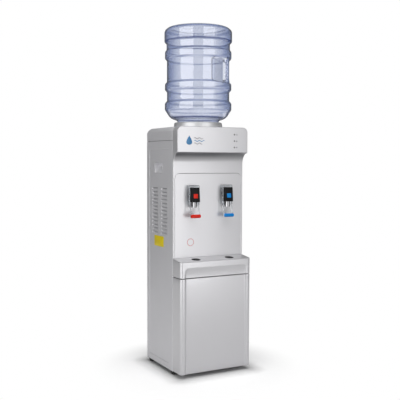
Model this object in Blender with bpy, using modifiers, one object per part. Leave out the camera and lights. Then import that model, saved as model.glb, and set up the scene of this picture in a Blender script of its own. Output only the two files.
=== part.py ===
# A water dispenser with an inverted bottle, two push taps and a storage cabinet.
# Metres, +Z up. The front faces -Y and the left side faces -X.
# The origin lies on the floor, below the centre of the casing.
import math

import bmesh
import bpy
from mathutils import Matrix, Vector

# Casing
CASE_WIDTH = 0.310
CASE_DEPTH = 0.312
FOOT_HEIGHT = 0.015
DOOR_LIFT = 0.0025
DOOR_HEIGHT = 0.3665
DOOR_SEAM = 0.003
TRAY_HEIGHT = 0.0694
TRAY_FALL = 0.0074
LIP_HEIGHT = 0.0234
COLUMN_HEIGHT = 0.3596
CURVE_HEIGHT = 0.047
HEAD_HEIGHT = 0.1004
COVER_HEIGHT = 0.0519
MOULDING_DEPTH = 0.070
COLUMN_STEP = 0.0045
HEAD_STEP = 0.042
FIELD_STEP = 0.0045
FIELD_MARGIN = 0.0156
FIELD_SWEEP = 0.0105
CORNER_RADIUS = 0.012
TOP_RADIUS = 0.020
EDGE_RADIUS = 0.0035
SEAM_EDGE = 0.0008

# Walls, clearances and the overrun of every cut
WALL = 0.0025
SHEET = 0.0012
THIN_WALL = 0.0015
GAP = 0.0003
OVERRUN = 0.004
MERGE = 0.00001

# Feet
FOOT_RADIUS = 0.015
FOOT_TAPER = 0.002
FOOT_INSET = 0.018

# Base pan
RIM_HEIGHT = 0.012
TAB_REACH = 0.008

# Front shell: column panel and indicator lenses
PANEL_MARGIN = 0.008
PANEL_DROP = 0.033
PANEL_RADIUS = 0.019
PANEL_STEP = 0.0008
LENS_RADIUS = 0.003
LENS_OFFSET = 0.0937
LENS_PITCH = 0.025
LENS_DROP = 0.0284
LENS_LENGTH = 0.008
LENS_PROUD = 0.0006

# Side panels
FLANGE = 0.012
SIDE_FIELD_FRONT = 0.034
SIDE_FIELD_REAR = 0.0236
SIDE_FIELD_DROP = 0.0335
SIDE_FIELD_RISE = 0.0235
SIDE_FIELD_RADIUS = 0.008
SIDE_FIELD_STEP = 0.0004
LOUVRE_ROWS = 13
LOUVRE_PITCH = 0.01463
LOUVRE_SLOT = 0.004
LOUVRE_LENGTH = 0.0525
LOUVRE_DROP = 0.1878
LOUVRE_SETBACK = 0.0515
LOUVRE_SPACING = 0.0845

# Grip cups
GRIP_LENGTH = 0.0725
GRIP_HEIGHT = 0.043
GRIP_DEPTH = 0.020
GRIP_HOOK = 0.018
GRIP_SETBACK = 0.093
GRIP_DROP = 0.0855

# Rear panel
REAR_INSET = 0.016
REAR_RIM = 0.0131
REAR_SIDE_GAP = 0.0032
VENT_ROWS = 7
VENT_PITCH = 0.009
VENT_SLOT = 0.004
VENT_LENGTH = 0.064

# Top cover, collar and funnel
COVER_HOLE = 0.070
COLLAR_RADIUS = 0.098
COLLAR_TOP_RADIUS = 0.095
COLLAR_BORE = 0.084
COLLAR_HEIGHT = 0.0213
COLLAR_EDGE = 0.003
FUNNEL_RADIUS = 0.088
FUNNEL_FLANGE = 0.0025
TUBE_RADIUS = 0.036
TUBE_LENGTH = 0.056

# Bottle: its shoulder cone rests in the funnel
BOTTLE_RADIUS = 0.1348
BOTTLE_HEIGHT = 0.375
BOTTLE_LIFT = 0.0203
BOTTLE_WALL = 0.0016
BOTTLE_SIDES = 32
CONE_TOP_RADIUS = 0.080
CONE_LOW_RADIUS = 0.032
NECK_RADIUS = 0.0275
NECK_LENGTH = 0.031
# Radius and height of the outline, from the base's dish down to the shoulder
BOTTLE_SHARES = (
    (0.0, 0.973), (0.63, 0.973), (0.705, 0.9985), (0.831, 1.0), (0.9, 0.996), (0.95, 0.983),
    (0.984, 0.970), (1.0, 0.955), (1.0, 0.859), (0.938, 0.831), (0.938, 0.773), (0.985, 0.743),
    (0.985, 0.685), (0.927, 0.653), (0.927, 0.435), (0.985, 0.405), (0.985, 0.353), (0.924, 0.321),
    (0.924, 0.236), (0.989, 0.200), (0.989, 0.139), (0.940, 0.111), (0.904, 0.090), (0.864, 0.069),
    (0.797, 0.047), (0.712, 0.033), (0.649, 0.028), (0.608, 0.012),
)
HANDLE_ANGLE = math.radians(-52.3)
HANDLE_HALF = 0.080
HANDLE_FLOOR = 0.090
HANDLE_RADIUS = 0.014
HANDLE_LOW = 0.164
HANDLE_HEIGHT = 0.094
BAR_HALF = 0.0125
BAR_OUTER = 0.1315
BAR_INNER = 0.108
BAR_ROUND = 0.008

# Probe that enters the bottle's neck
PROBE_RADIUS = 0.007
PROBE_RISE = 0.004
PROBE_BASE = 0.003
PROBE_HEIGHT = 0.048
PROBE_HOLE = 0.0055
PROBE_HOLES = 4
PROBE_HOLE_CIRCLE = 0.020

# Tray housing, drip wells, strainers and drip box
WELL_RADIUS = 0.017
WELL_LEDGE = 0.0025
WELL_WALL = 0.0025
WELL_DEPTH = 0.010
WELL_FLOOR = 0.003
WELL_SETBACK = 0.031
STRAINER_THICKNESS = 0.002
STRAINER_SLOT = 0.0022
STRAINER_SLOTS = 5
STRAINER_PITCH = 0.005
STRAINER_SLOT_SHARE = 0.8
DRIP_BOX_HALF = 0.098
DRIP_BOX_HEIGHT = 0.036
DRIP_BOX_SETBACK = 0.010

# Door
DOOR_BACK_GAP = 0.0008
HINGE_RADIUS = 0.004
BOSS_HEIGHT = 0.012
PIN_RADIUS = 0.002
PIN_REACH = 0.008
LINER_SETBACK = 0.001
LINER_THICKNESS = 0.0025
MAGNET_OFFSET = 0.118
MAGNET_LENGTH = 0.036
MAGNET_HEIGHT = 0.010
MAGNET_DEPTH = 0.012

# Cabinet box and component deck
CABINET_SIDE_GAP = 0.005
CABINET_HEADROOM = 0.003
DECK_RISE = 0.156
DECK_FLANGE = 0.010

# Taps
TAP_OFFSET = 0.074
TAP_HEIGHT = 0.705
SHANK_RADIUS = 0.011
SHANK_INNER = 0.0205
SHANK_REACH = 0.0275
SHANK_BORE = 0.0035
TAP_FLANGE_RADIUS = 0.0165
TAP_FLANGE = 0.0027
SPOUT_RADIUS = 0.0095
SPOUT_BORE = 0.0062
SPOUT_LENGTH = 0.053
SPOUT_REACH = 0.018
HOUSING_HALF = 0.023
HOUSING_REACH = 0.0202
HOUSING_LOW = 0.043
HOUSING_HIGH = 0.033
HOUSING_RADIUS = 0.004
HOUSING_WINDOW = 0.0155
HOUSING_WINDOW_TOP = 0.0145
CAP_HALF = 0.019
CAP_LOW = 0.032
CAP_HIGH = 0.024
CAP_TOP_REACH = 0.0285
CAP_DRAFT = 0.0045
CAP_EDGE = 0.0012
MARKER_HALF = 0.009
MARKER_HEIGHT = 0.017
MARKER_THICKNESS = 0.0008

# Levers and paddles
PIVOT_REACH = 0.014
PIVOT_RISE = 0.0175
PIVOT_RADIUS = 0.002
LEVER_PLAY = 0.001
LEVER_WINDOW = 0.0165
LEVER_TOP = 0.0055
LEVER_THICKNESS = 0.007
LEVER_ARM = 0.0605
LEVER_SLOPE = 0.030
LEVER_STEP = 0.0105
LEVER_FOOT = 0.020
LEVER_FOOT_THICKNESS = 0.004
LEVER_BRIDGE = 0.024
PADDLE_HALF = 0.0212
PADDLE_HEIGHT = 0.0135
PADDLE_DEPTH = 0.0095
PADDLE_ROUND = 0.004

# Cold tank, insulation and thermoelectric cooler
TANK_RADIUS = 0.062
TANK_WALL = 0.001
TANK_HEIGHT = 0.137
TANK_CROWN = 0.004
MOUTH_HEIGHT = 0.011
MOUTH_OVERLAP = 0.016
MOUTH_PLAY = 0.0005
FOAM_THICKNESS = 0.0137
COOLER_HALF = 0.020
COOLER_REACH = 0.070
COOLER_SEAT = 0.004
COOLER_RISE = 0.064
MODULE_THICKNESS = 0.0036
SINK_HALF = 0.045
SINK_BASE = 0.005
SINK_FINS = 10
FIN_THICKNESS = 0.0016
FAN_HALF = 0.046
FAN_DEPTH = 0.025
FAN_BORE = 0.043
FAN_CORNER = 0.005
FAN_PLATE = 0.003
FAN_STRUT = 0.004
HUB_RADIUS = 0.018
HUB_DEPTH = 0.017
ROTOR_RADIUS = 0.040
BLADES = 7
BLADE_CHORD = 0.016
BLADE_THICKNESS = 0.0015
BLADE_PITCH = math.radians(38)
SPINDLE_RADIUS = 0.003

# Hot tank, heater and power supply
BOILER_RADIUS = 0.042
BOILER_OFFSET = -0.070
BOILER_SETBACK = 0.030
BOILER_SKIRT = 0.0145
BOILER_HEIGHT = 0.1485
BOILER_CROWN = 0.010
BOILER_NECK = 0.0045
BOILER_NECK_HEIGHT = 0.007
HEATER_RISE = 0.0585
HEATER_HEIGHT = 0.040
HEATER_THICKNESS = 0.003
LUG_HALF = 0.005
LUG_REACH = 0.010
SUPPLY_OFFSET = 0.075
SUPPLY_SETBACK = 0.070
SUPPLY_HALF = 0.045
SUPPLY_HEIGHT = 0.055
SUPPLY_EDGE = 0.003

# Pipes
PIPE_RADIUS = 0.004
PIPE_BORE = 0.0025
PIPE_BEND = 0.020
COLD_PIPE_OFFSET = 0.030
COLD_PIPE_SETBACK = -0.020
FEED_OFFSET = -0.012
FEED_RISE = 0.038
DRAIN_RADIUS = 0.006
DRAIN_BORE = 0.0045
DRAIN_RISE = 0.030
DRAIN_PROUD = 0.008
DRAIN_CAP_RADIUS = 0.010
DRAIN_CAP_LENGTH = 0.012

# Rear rocker switches and the power cord's gland
SWITCH_OFFSET = 0.100
SWITCH_HEIGHT = 0.610
SWITCH_SPACING = 0.030
SWITCH_HALF = 0.0065
SWITCH_HALF_HEIGHT = 0.010
SWITCH_PIVOT_DEPTH = 0.004
SWITCH_PROUD = 0.0035
SWITCH_GAP = 0.0007
SWITCH_TILT = math.radians(6)
GLAND_OFFSET = 0.100
GLAND_HEIGHT = 0.440
GLAND_RADIUS = 0.009
GLAND_FLANGE_RADIUS = 0.013
GLAND_LENGTH = 0.014
GLAND_BORE = 0.004
GLAND_FLANGE = 0.003

# Sides and steps of round shapes
ARC_STEPS = 5
CURVE_STEPS = 8
SWEEP_STEPS = 4
ROUND_SIDES = 32
SMALL_SIDES = 20
COLLAR_SIDES = 48
FINE_SIDES = 12
BLOCK_SIZE = 1

# Places worked out from the sizes
HALF = CASE_WIDTH / 2
FRONT = -CASE_DEPTH / 2
REAR = CASE_DEPTH / 2
JOINT = FRONT + MOULDING_DEPTH
COLUMN_Y = JOINT - COLUMN_STEP
PANEL_Y = COLUMN_Y + PANEL_STEP
HEAD_Y = JOINT - HEAD_STEP
FIELD_Y = FRONT + FIELD_STEP
DOOR_BACK = JOINT - DOOR_BACK_GAP
DOOR_BOTTOM = FOOT_HEIGHT + DOOR_LIFT
DOOR_TOP = DOOR_BOTTOM + DOOR_HEIGHT
TRAY_BOTTOM = DOOR_TOP + DOOR_SEAM
TRAY_TOP = TRAY_BOTTOM + TRAY_HEIGHT
CREASE = TRAY_TOP - TRAY_FALL - LIP_HEIGHT
CURVE_BASE = TRAY_TOP + COLUMN_HEIGHT
HEAD_BOTTOM = CURVE_BASE + CURVE_HEIGHT
CASE_TOP = HEAD_BOTTOM + HEAD_HEIGHT
COVER_BOTTOM = CASE_TOP - COVER_HEIGHT
FLOOR_TOP = FOOT_HEIGHT + SHEET
HINGE_X = HALF - HINGE_RADIUS
HINGE_Y = DOOR_BACK - HINGE_RADIUS
FLANGE_BACK = JOINT + SHEET + GAP
REAR_FACE = REAR - REAR_INSET
CABINET_TOP = DOOR_TOP - CABINET_HEADROOM
DECK_TOP = DOOR_TOP + DECK_RISE + SHEET
CONE_TOP = CASE_TOP + BOTTLE_LIFT
CONE_LOW = CONE_TOP - (CONE_TOP_RADIUS - CONE_LOW_RADIUS)
TUBE_BOTTOM = CONE_LOW - TUBE_LENGTH
MOUTH_TOP = TUBE_BOTTOM + MOUTH_OVERLAP
TANK_TOP = MOUTH_TOP - MOUTH_HEIGHT
TANK_BOTTOM = TANK_TOP - TANK_HEIGHT
FOAM_BOTTOM = TANK_BOTTOM - GAP - (FOAM_THICKNESS - TANK_WALL)
COOLER_Z = TANK_BOTTOM + COOLER_RISE
MODULE_FRONT = COOLER_REACH + GAP
SINK_FRONT = MODULE_FRONT + MODULE_THICKNESS + GAP
FAN_BACK = REAR_FACE - GAP
FAN_FRONT = FAN_BACK - FAN_DEPTH
SINK_BACK = FAN_FRONT - GAP
TAP_SEAT = PANEL_Y - GAP
PIVOT_Y = COLUMN_Y - PIVOT_REACH
PIVOT_Z = TAP_HEIGHT + PIVOT_RISE
SWITCH_Y = REAR_FACE + SHEET - SWITCH_PIVOT_DEPTH
DRAIN_Z = DECK_TOP + DRAIN_RISE
FEED_Z = DECK_TOP + FEED_RISE


def clear_scene():
    for item in list(bpy.data.objects):
        bpy.data.objects.remove(item, do_unlink=True)


def make_collection(name):
    collection = bpy.data.collections.new(name)
    bpy.context.scene.collection.children.link(collection)
    return collection


clear_scene()
PARTS = make_collection("water_dispenser")
CUTTERS = make_collection("cutters")


def put(name, data):
    item = bpy.data.objects.new(name, data)
    PARTS.objects.link(item)
    return item


def hide(tool):
    """Move a tool to the cutters, which aren't pieces of the object."""
    PARTS.objects.unlink(tool)
    CUTTERS.objects.link(tool)
    tool.hide_render = True
    tool.display_type = "WIRE"


def combine(target, tool, operation):
    modifier = target.modifiers.new(operation.lower(), "BOOLEAN")
    modifier.operation = operation
    modifier.object = tool
    hide(tool)
    return target


def cut(target, tool):
    return combine(target, tool, "DIFFERENCE")


def join(target, tool):
    return combine(target, tool, "UNION")


def keep_common(target, tool):
    return combine(target, tool, "INTERSECT")


def bevel(item, width, segments=2, angle=60):
    modifier = item.modifiers.new("edges", "BEVEL")
    modifier.width = width
    modifier.segments = segments
    modifier.limit_method = "ANGLE"
    modifier.angle_limit = math.radians(angle)
    return item


def add_block(shape, low, high):
    size = high - low
    place = Matrix.Translation((low + high) / 2) @ Matrix.Diagonal((size.x, size.y, size.z, 1))
    bmesh.ops.create_cube(shape, size=BLOCK_SIZE, matrix=place)


def boxes(name, corners):
    """One mesh of separate blocks, each from its low and its high corner."""
    mesh = bpy.data.meshes.new(name)
    shape = bmesh.new()
    for low, high in corners:
        add_block(shape, Vector(low), Vector(high))
    shape.to_mesh(mesh)
    shape.free()
    return put(name, mesh)


def box(name, low, high):
    return boxes(name, [(low, high)])


def rod(name, start, end, radius, sides=SMALL_SIDES):
    start = Vector(start)
    axis = Vector(end) - start
    turn = axis.to_track_quat("Z", "Y").to_matrix().to_4x4()
    mesh = bpy.data.meshes.new(name)
    shape = bmesh.new()
    bmesh.ops.create_cone(shape, cap_ends=True, segments=sides, radius1=radius, radius2=radius,
                          depth=axis.length, matrix=Matrix.Translation(start + axis / 2) @ turn)
    shape.to_mesh(mesh)
    shape.free()
    return put(name, mesh)


def fillet(before, corner, after, radius):
    """Points of the arc that rounds one corner of an outline."""
    here = Vector(corner)
    back = (Vector(before) - here).normalized()
    ahead = (Vector(after) - here).normalized()
    half_angle = back.angle(ahead) / 2
    centre = here + (back + ahead).normalized() * radius / math.sin(half_angle)
    reach = radius / math.tan(half_angle)
    start = here + back * reach - centre
    end = here + ahead * reach - centre
    sweep = math.atan2(start.x * end.y - start.y * end.x, start.dot(end))
    points = []
    for step in range(ARC_STEPS + 1):
        turn = sweep * step / ARC_STEPS
        points.append((centre.x + start.x * math.cos(turn) - start.y * math.sin(turn),
                       centre.y + start.x * math.sin(turn) + start.y * math.cos(turn)))
    return points


def filleted(corners):
    """Outline through (u, v) corners, with an arc at each (u, v, radius) corner."""
    points = []
    count = len(corners)
    for index, corner in enumerate(corners):
        if len(corner) == 2:
            points.append(corner)
            continue
        before = corners[index - 1][:2]
        after = corners[(index + 1) % count][:2]
        points += fillet(before, corner[:2], after, corner[2])
    return points


# How an outline's u and v and the extrusion lie along X, Y and Z
AXES = {
    "X": Matrix(((0, 0, 1), (1, 0, 0), (0, 1, 0))),
    "Y": Matrix(((1, 0, 0), (0, 0, -1), (0, 1, 0))),
    "Z": Matrix(((1, 0, 0), (0, 1, 0), (0, 0, 1))),
}


def curve_to_mesh(name, item):
    """Swap a curve for its evaluated mesh, with the caps welded on."""
    bpy.context.view_layer.update()
    graph = bpy.context.evaluated_depsgraph_get()
    mesh = bpy.data.meshes.new_from_object(item.evaluated_get(graph))
    mesh.transform(item.matrix_world)
    bpy.data.objects.remove(item, do_unlink=True)
    shape = bmesh.new()
    shape.from_mesh(mesh)
    bmesh.ops.remove_doubles(shape, verts=shape.verts, dist=MERGE)
    bmesh.ops.recalc_face_normals(shape, faces=shape.faces)
    shape.to_mesh(mesh)
    shape.free()
    return put(name, mesh)


def prism(name, outline, axis, low, high):
    """A flat outline carried along an axis: X takes (y, z), Y takes (x, z) and Z takes (x, y)."""
    low, high = min(low, high), max(low, high)
    curve = bpy.data.curves.new(name + "_outline", "CURVE")
    curve.dimensions = "2D"
    curve.fill_mode = "BOTH"
    curve.extrude = (high - low) / 2
    spline = curve.splines.new("POLY")
    spline.points.add(len(outline) - 1)
    for point, (u, v) in zip(spline.points, outline):
        point.co = (u, v, 0, 1)
    spline.use_cyclic_u = True
    item = put(name + "_curve", curve)
    middle = (low + high) / 2
    shift = {"X": (middle, 0, 0), "Y": (0, middle, 0), "Z": (0, 0, middle)}
    item.matrix_world = Matrix.Translation(shift[axis]) @ AXES[axis].to_4x4()
    return curve_to_mesh(name, item)


def turned(name, profile, centre=(0, 0, 0), sides=ROUND_SIDES):
    """A (radius, height) profile turned about a vertical axis, down its outer side."""
    mesh = bpy.data.meshes.new(name)
    verts = [(radius, 0, height) for radius, height in profile]
    edges = []
    for index in range(len(profile)):
        following = (index + 1) % len(profile)
        if profile[index][0] > 0 or profile[following][0] > 0:
            edges.append((index, following))
    mesh.from_pydata(verts, edges, [])
    item = put(name, mesh)
    item.location = centre
    screw = item.modifiers.new("turn", "SCREW")
    screw.axis = "Z"
    screw.steps = sides
    screw.render_steps = sides
    screw.use_merge_vertices = True
    screw.merge_threshold = MERGE
    return item


def tube(name, route, radius):
    """A round pipe along a smooth curve through the route's points, straight at both ends."""
    curve = bpy.data.curves.new(name, "CURVE")
    curve.dimensions = "3D"
    curve.bevel_depth = radius
    curve.bevel_resolution = 2
    curve.resolution_u = SWEEP_STEPS
    curve.use_fill_caps = True
    spline = curve.splines.new("BEZIER")
    spline.bezier_points.add(len(route) - 1)
    places = [Vector(place) for place in route]
    last = len(places) - 1
    for index, point in enumerate(spline.bezier_points):
        before = places[max(index - 1, 0)]
        after = places[min(index + 1, last)]
        run = after - before
        if index == 1:
            run = places[1] - places[0]
        elif index == last - 1:
            run = places[last] - places[last - 1]
        run.normalize()
        point.co = places[index]
        point.handle_left = places[index] - run * (places[index] - before).length / 3
        point.handle_right = places[index] + run * (after - places[index]).length / 3
    return put(name, curve)


def finish(item, look, angle=35):
    """Give a piece its material, and shade it smooth up to its hard edges."""
    item.data.materials.append(look)
    if item.type == "MESH" and len(item.data.polygons) > 0:
        item.data.shade_smooth()
        item.data.set_sharp_from_angle(angle=math.radians(angle))
    return item


def carry(name, point, pieces):
    """An empty on a joint's axis that carries the pieces moving about it."""
    empty = bpy.data.objects.new(name, None)
    CUTTERS.objects.link(empty)
    empty.location = point
    empty.hide_render = True
    bpy.context.view_layer.update()
    for piece in pieces:
        piece.parent = empty
        piece.matrix_parent_inverse = empty.matrix_world.inverted()


def material(name, colour, roughness, metallic=0.0, alpha=1.0):
    look = bpy.data.materials.new(name)
    look.use_nodes = True
    shader = look.node_tree.nodes["Principled BSDF"]
    shader.inputs["Base Color"].default_value = (*colour, 1)
    shader.inputs["Roughness"].default_value = roughness
    shader.inputs["Metallic"].default_value = metallic
    shader.inputs["Alpha"].default_value = alpha
    return look


def field_sweep(side):
    """Soft edge of the sunk front field, from the corner strip inwards."""
    points = []
    for step in range(SWEEP_STEPS + 1):
        share = step / SWEEP_STEPS
        smooth = share * share * (3 - 2 * share)
        points.append((side * (HALF - FIELD_MARGIN - FIELD_SWEEP * share), FRONT + FIELD_STEP * smooth))
    return points


def arch(inset, low, top):
    """Front view of the head and the cover: two round top corners."""
    edge = HALF - inset
    radius = TOP_RADIUS - inset
    return filleted([(-edge, low), (edge, low), (edge, top - inset, radius), (-edge, top - inset, radius)])


def shell_side(inset):
    """Side view of the front shell: column, hollow curve and head."""
    low = TRAY_TOP - OVERRUN - 2 * inset
    back = JOINT + OVERRUN + 2 * inset
    points = [(back, low), (COLUMN_Y + inset, low)]
    for step in range(CURVE_STEPS + 1):
        turn = math.pi / 2 * step / CURVE_STEPS
        points.append((HEAD_Y + inset + (COLUMN_Y - HEAD_Y) * math.cos(turn),
                       CURVE_BASE + inset + CURVE_HEIGHT * math.sin(turn)))
    return points + [(HEAD_Y + inset, CASE_TOP - inset), (back, CASE_TOP - inset)]


def shell_body(name, inset):
    body = prism(name, shell_side(inset), "X", -HALF - OVERRUN, HALF + OVERRUN)
    front = arch(inset, TRAY_TOP - 3 * OVERRUN, CASE_TOP)
    return keep_common(body, prism(name + "_front", front, "Y", HEAD_Y - OVERRUN, JOINT + 3 * OVERRUN))


def lens_heights():
    return [CASE_TOP - LENS_DROP - row * LENS_PITCH for row in range(3)]


def make_front_shell(look):
    shell = bevel(shell_body("front_shell", 0), EDGE_RADIUS)
    cut(shell, shell_body("shell_hollow", WALL))
    cut(shell, box("shell_back_trim", (-HALF - OVERRUN, JOINT - GAP, TRAY_TOP - 3 * OVERRUN),
                   (HALF + OVERRUN, JOINT + 3 * OVERRUN, CASE_TOP + OVERRUN)))
    cut(shell, box("shell_low_trim", (-HALF - OVERRUN, COLUMN_Y - OVERRUN, TRAY_TOP - 3 * OVERRUN),
                   (HALF + OVERRUN, JOINT + OVERRUN, TRAY_TOP + GAP)))
    edge = HALF - PANEL_MARGIN
    top = CURVE_BASE - PANEL_DROP
    panel = filleted([(-edge, TRAY_TOP - OVERRUN), (edge, TRAY_TOP - OVERRUN),
                      (edge, top, PANEL_RADIUS), (-edge, top, PANEL_RADIUS)])
    cut(shell, prism("panel_step", panel, "Y", COLUMN_Y - OVERRUN, PANEL_Y))
    for side in (-1, 1):
        cut(shell, rod("tap_hole", (side * TAP_OFFSET, COLUMN_Y - OVERRUN, TAP_HEIGHT),
                       (side * TAP_OFFSET, JOINT + OVERRUN, TAP_HEIGHT), SHANK_RADIUS + GAP))
    for height in lens_heights():
        cut(shell, rod("lens_hole", (LENS_OFFSET, HEAD_Y - OVERRUN, height),
                       (LENS_OFFSET, HEAD_Y + OVERRUN, height), LENS_RADIUS + GAP, FINE_SIDES))
    return finish(shell, look)


def make_lenses(look):
    for label, height in zip(("power", "heating", "cooling"), lens_heights()):
        finish(rod("lens_" + label, (LENS_OFFSET, HEAD_Y - LENS_PROUD, height),
                   (LENS_OFFSET, HEAD_Y + LENS_LENGTH, height), LENS_RADIUS, FINE_SIDES), look)


def cover_body(name, inset):
    """Cover with round rear and side top corners, open below and in front."""
    low = COVER_BOTTOM - OVERRUN - 2 * inset
    front = JOINT - OVERRUN - 2 * inset
    top = CASE_TOP - inset
    side = filleted([(front, low), (REAR - inset, low), (REAR - inset, top, TOP_RADIUS - inset), (front, top)])
    body = prism(name, side, "X", -HALF - OVERRUN, HALF + OVERRUN)
    outline = arch(inset, COVER_BOTTOM - 3 * OVERRUN, CASE_TOP)
    return keep_common(body, prism(name + "_front", outline, "Y", JOINT - 3 * OVERRUN, REAR + OVERRUN))


def make_top_cover(look):
    cover = cover_body("top_cover", 0)
    cut(cover, cover_body("cover_hollow", WALL))
    cut(cover, box("cover_front_trim", (-HALF - OVERRUN, JOINT - 3 * OVERRUN, COVER_BOTTOM - 3 * OVERRUN),
                   (HALF + OVERRUN, JOINT, CASE_TOP + OVERRUN)))
    cut(cover, box("cover_low_trim", (-HALF - OVERRUN, JOINT - OVERRUN, COVER_BOTTOM - 3 * OVERRUN),
                   (HALF + OVERRUN, REAR + OVERRUN, COVER_BOTTOM)))
    cut(cover, rod("cover_hole", (0, 0, CASE_TOP - 2 * OVERRUN), (0, 0, CASE_TOP + OVERRUN),
                   COVER_HOLE, ROUND_SIDES))
    return finish(cover, look)


def shelf_height(y):
    """Height of the cup shelf, which falls from the column to the lip."""
    return TRAY_TOP - TRAY_FALL * (COLUMN_Y - y) / (COLUMN_Y - FRONT)


def above_shelf(name, drop):
    """Everything above the shelf, or above the underside of its wall."""
    front = FRONT - OVERRUN
    back = JOINT + 3 * OVERRUN
    outline = [(front, shelf_height(front) - drop), (COLUMN_Y, TRAY_TOP - drop), (back, TRAY_TOP - drop),
               (back, TRAY_TOP + 2 * OVERRUN), (front, TRAY_TOP + 2 * OVERRUN)]
    return prism(name, outline, "X", -HALF - OVERRUN, HALF + OVERRUN)


def wrap_plan(inset, front, back):
    """Plan of the mouldings that wrap round both front corners."""
    edge = HALF - inset
    radius = CORNER_RADIUS - inset
    return filleted([(-edge, back), (-edge, front, radius), (edge, front, radius), (edge, back)])


def make_scoop():
    """Cutter that carries the door's sunk field up into the tray and fades it out."""
    ends = [(-HALF + FIELD_MARGIN, FRONT - OVERRUN), (HALF - FIELD_MARGIN, FRONT - OVERRUN)]
    plan = ends + field_sweep(1) + list(reversed(field_sweep(-1)))
    scoop = prism("scoop", plan, "Z", TRAY_BOTTOM - OVERRUN, CREASE + OVERRUN)
    flare = [(FRONT - 2 * OVERRUN, TRAY_BOTTOM - 2 * OVERRUN), (FIELD_Y, TRAY_BOTTOM - 2 * OVERRUN)]
    for step in range(CURVE_STEPS + 1):
        share = step / CURVE_STEPS
        flare.append((FRONT + FIELD_STEP * (1 - share * share), TRAY_BOTTOM + (CREASE - TRAY_BOTTOM) * share))
    flare.append((FRONT - 2 * OVERRUN, CREASE))
    return keep_common(scoop, prism("scoop_side", flare, "X", -HALF, HALF))


def make_tray_housing(look):
    tray = prism("tray_housing", wrap_plan(0, FRONT, JOINT + OVERRUN), "Z", TRAY_BOTTOM, TRAY_TOP + OVERRUN)
    cut(tray, above_shelf("shelf_trim", 0))
    bevel(tray, SEAM_EDGE)
    cut(tray, make_scoop())
    hollow = prism("tray_hollow", wrap_plan(WALL, FIELD_Y + WALL, JOINT + 2 * OVERRUN), "Z",
                   TRAY_BOTTOM + WALL, TRAY_TOP + OVERRUN)
    cut(hollow, above_shelf("tray_roof", WALL))
    y = FRONT + WELL_SETBACK
    floor = shelf_height(y) - WELL_DEPTH
    for side in (-1, 1):
        x = side * TAP_OFFSET
        cut(hollow, rod("well_boss", (x, y, floor - WELL_FLOOR), (x, y, TRAY_TOP + 2 * OVERRUN),
                        WELL_RADIUS + WELL_WALL, ROUND_SIDES))
    cut(tray, hollow)
    cut(tray, box("tray_back_trim", (-HALF - OVERRUN, JOINT - GAP, TRAY_BOTTOM - OVERRUN),
                  (HALF + OVERRUN, JOINT + 2 * OVERRUN, TRAY_TOP + OVERRUN)))
    for side in (-1, 1):
        x = side * TAP_OFFSET
        cut(tray, rod("well", (x, y, floor), (x, y, TRAY_TOP + OVERRUN), WELL_RADIUS, ROUND_SIDES))
        cut(tray, rod("well_drain", (x, y, floor - WELL_FLOOR - OVERRUN), (x, y, floor + OVERRUN),
                      WELL_RADIUS - WELL_LEDGE, ROUND_SIDES))
    cut(tray, rod("upper_pin_hole", (HINGE_X, HINGE_Y, TRAY_BOTTOM - OVERRUN),
                  (HINGE_X, HINGE_Y, TRAY_BOTTOM + OVERRUN), PIN_RADIUS + GAP))
    return finish(tray, look)


def make_strainer(side, label, look):
    x = side * TAP_OFFSET
    y = FRONT + WELL_SETBACK
    seat = shelf_height(y) - WELL_DEPTH + GAP
    radius = WELL_RADIUS - GAP
    disc = rod("strainer_" + label, (x, y, seat), (x, y, seat + STRAINER_THICKNESS), radius, ROUND_SIDES)
    slots = []
    for row in range(STRAINER_SLOTS):
        offset = (row - (STRAINER_SLOTS - 1) / 2) * STRAINER_PITCH
        reach = STRAINER_SLOT_SHARE * math.sqrt(radius * radius - offset * offset)
        slots.append(((x - reach, y + offset - STRAINER_SLOT / 2, seat - OVERRUN),
                      (x + reach, y + offset + STRAINER_SLOT / 2, seat + OVERRUN)))
    cut(disc, boxes("strainer_slots", slots))
    finish(disc, look)
    carry("strainer_seat_" + label, (x, y, seat), [disc])


def make_drip_box(look):
    low = TRAY_BOTTOM + WALL + GAP
    front = FIELD_Y + DRIP_BOX_SETBACK
    back = COLUMN_Y - THIN_WALL
    item = box("drip_box", (-DRIP_BOX_HALF, front, low), (DRIP_BOX_HALF, back, low + DRIP_BOX_HEIGHT))
    cut(item, box("drip_box_hollow", (-DRIP_BOX_HALF + THIN_WALL, front + THIN_WALL, low + THIN_WALL),
                  (DRIP_BOX_HALF - THIN_WALL, back - THIN_WALL, low + DRIP_BOX_HEIGHT + OVERRUN)))
    return finish(item, look)


def make_door(look):
    """Hollow front that wraps round both corners and turns on two pins."""
    corners = [(HALF, DOOR_BACK, HINGE_RADIUS), (-HALF, DOOR_BACK), (-HALF, FRONT, CORNER_RADIUS)]
    corners += field_sweep(-1) + list(reversed(field_sweep(1))) + [(HALF, FRONT, CORNER_RADIUS)]
    door = bevel(prism("door", filleted(corners), "Z", DOOR_BOTTOM, DOOR_TOP), SEAM_EDGE)
    cut(door, prism("door_hollow", wrap_plan(WALL, FIELD_Y + WALL, DOOR_BACK + OVERRUN), "Z",
                    DOOR_BOTTOM + WALL, DOOR_TOP - WALL))
    bosses = ((DOOR_BOTTOM + WALL / 2, DOOR_BOTTOM + BOSS_HEIGHT), (DOOR_TOP - BOSS_HEIGHT, DOOR_TOP - WALL / 2))
    for low, high in bosses:
        join(door, rod("hinge_boss", (HINGE_X, HINGE_Y, low), (HINGE_X, HINGE_Y, high), HINGE_RADIUS - GAP))
    holes = ((DOOR_BOTTOM - OVERRUN, DOOR_BOTTOM + PIN_REACH), (DOOR_TOP - PIN_REACH, DOOR_TOP + OVERRUN))
    for low, high in holes:
        cut(door, rod("hinge_hole", (HINGE_X, HINGE_Y, low), (HINGE_X, HINGE_Y, high), PIN_RADIUS + GAP))
    return finish(door, look)


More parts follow.
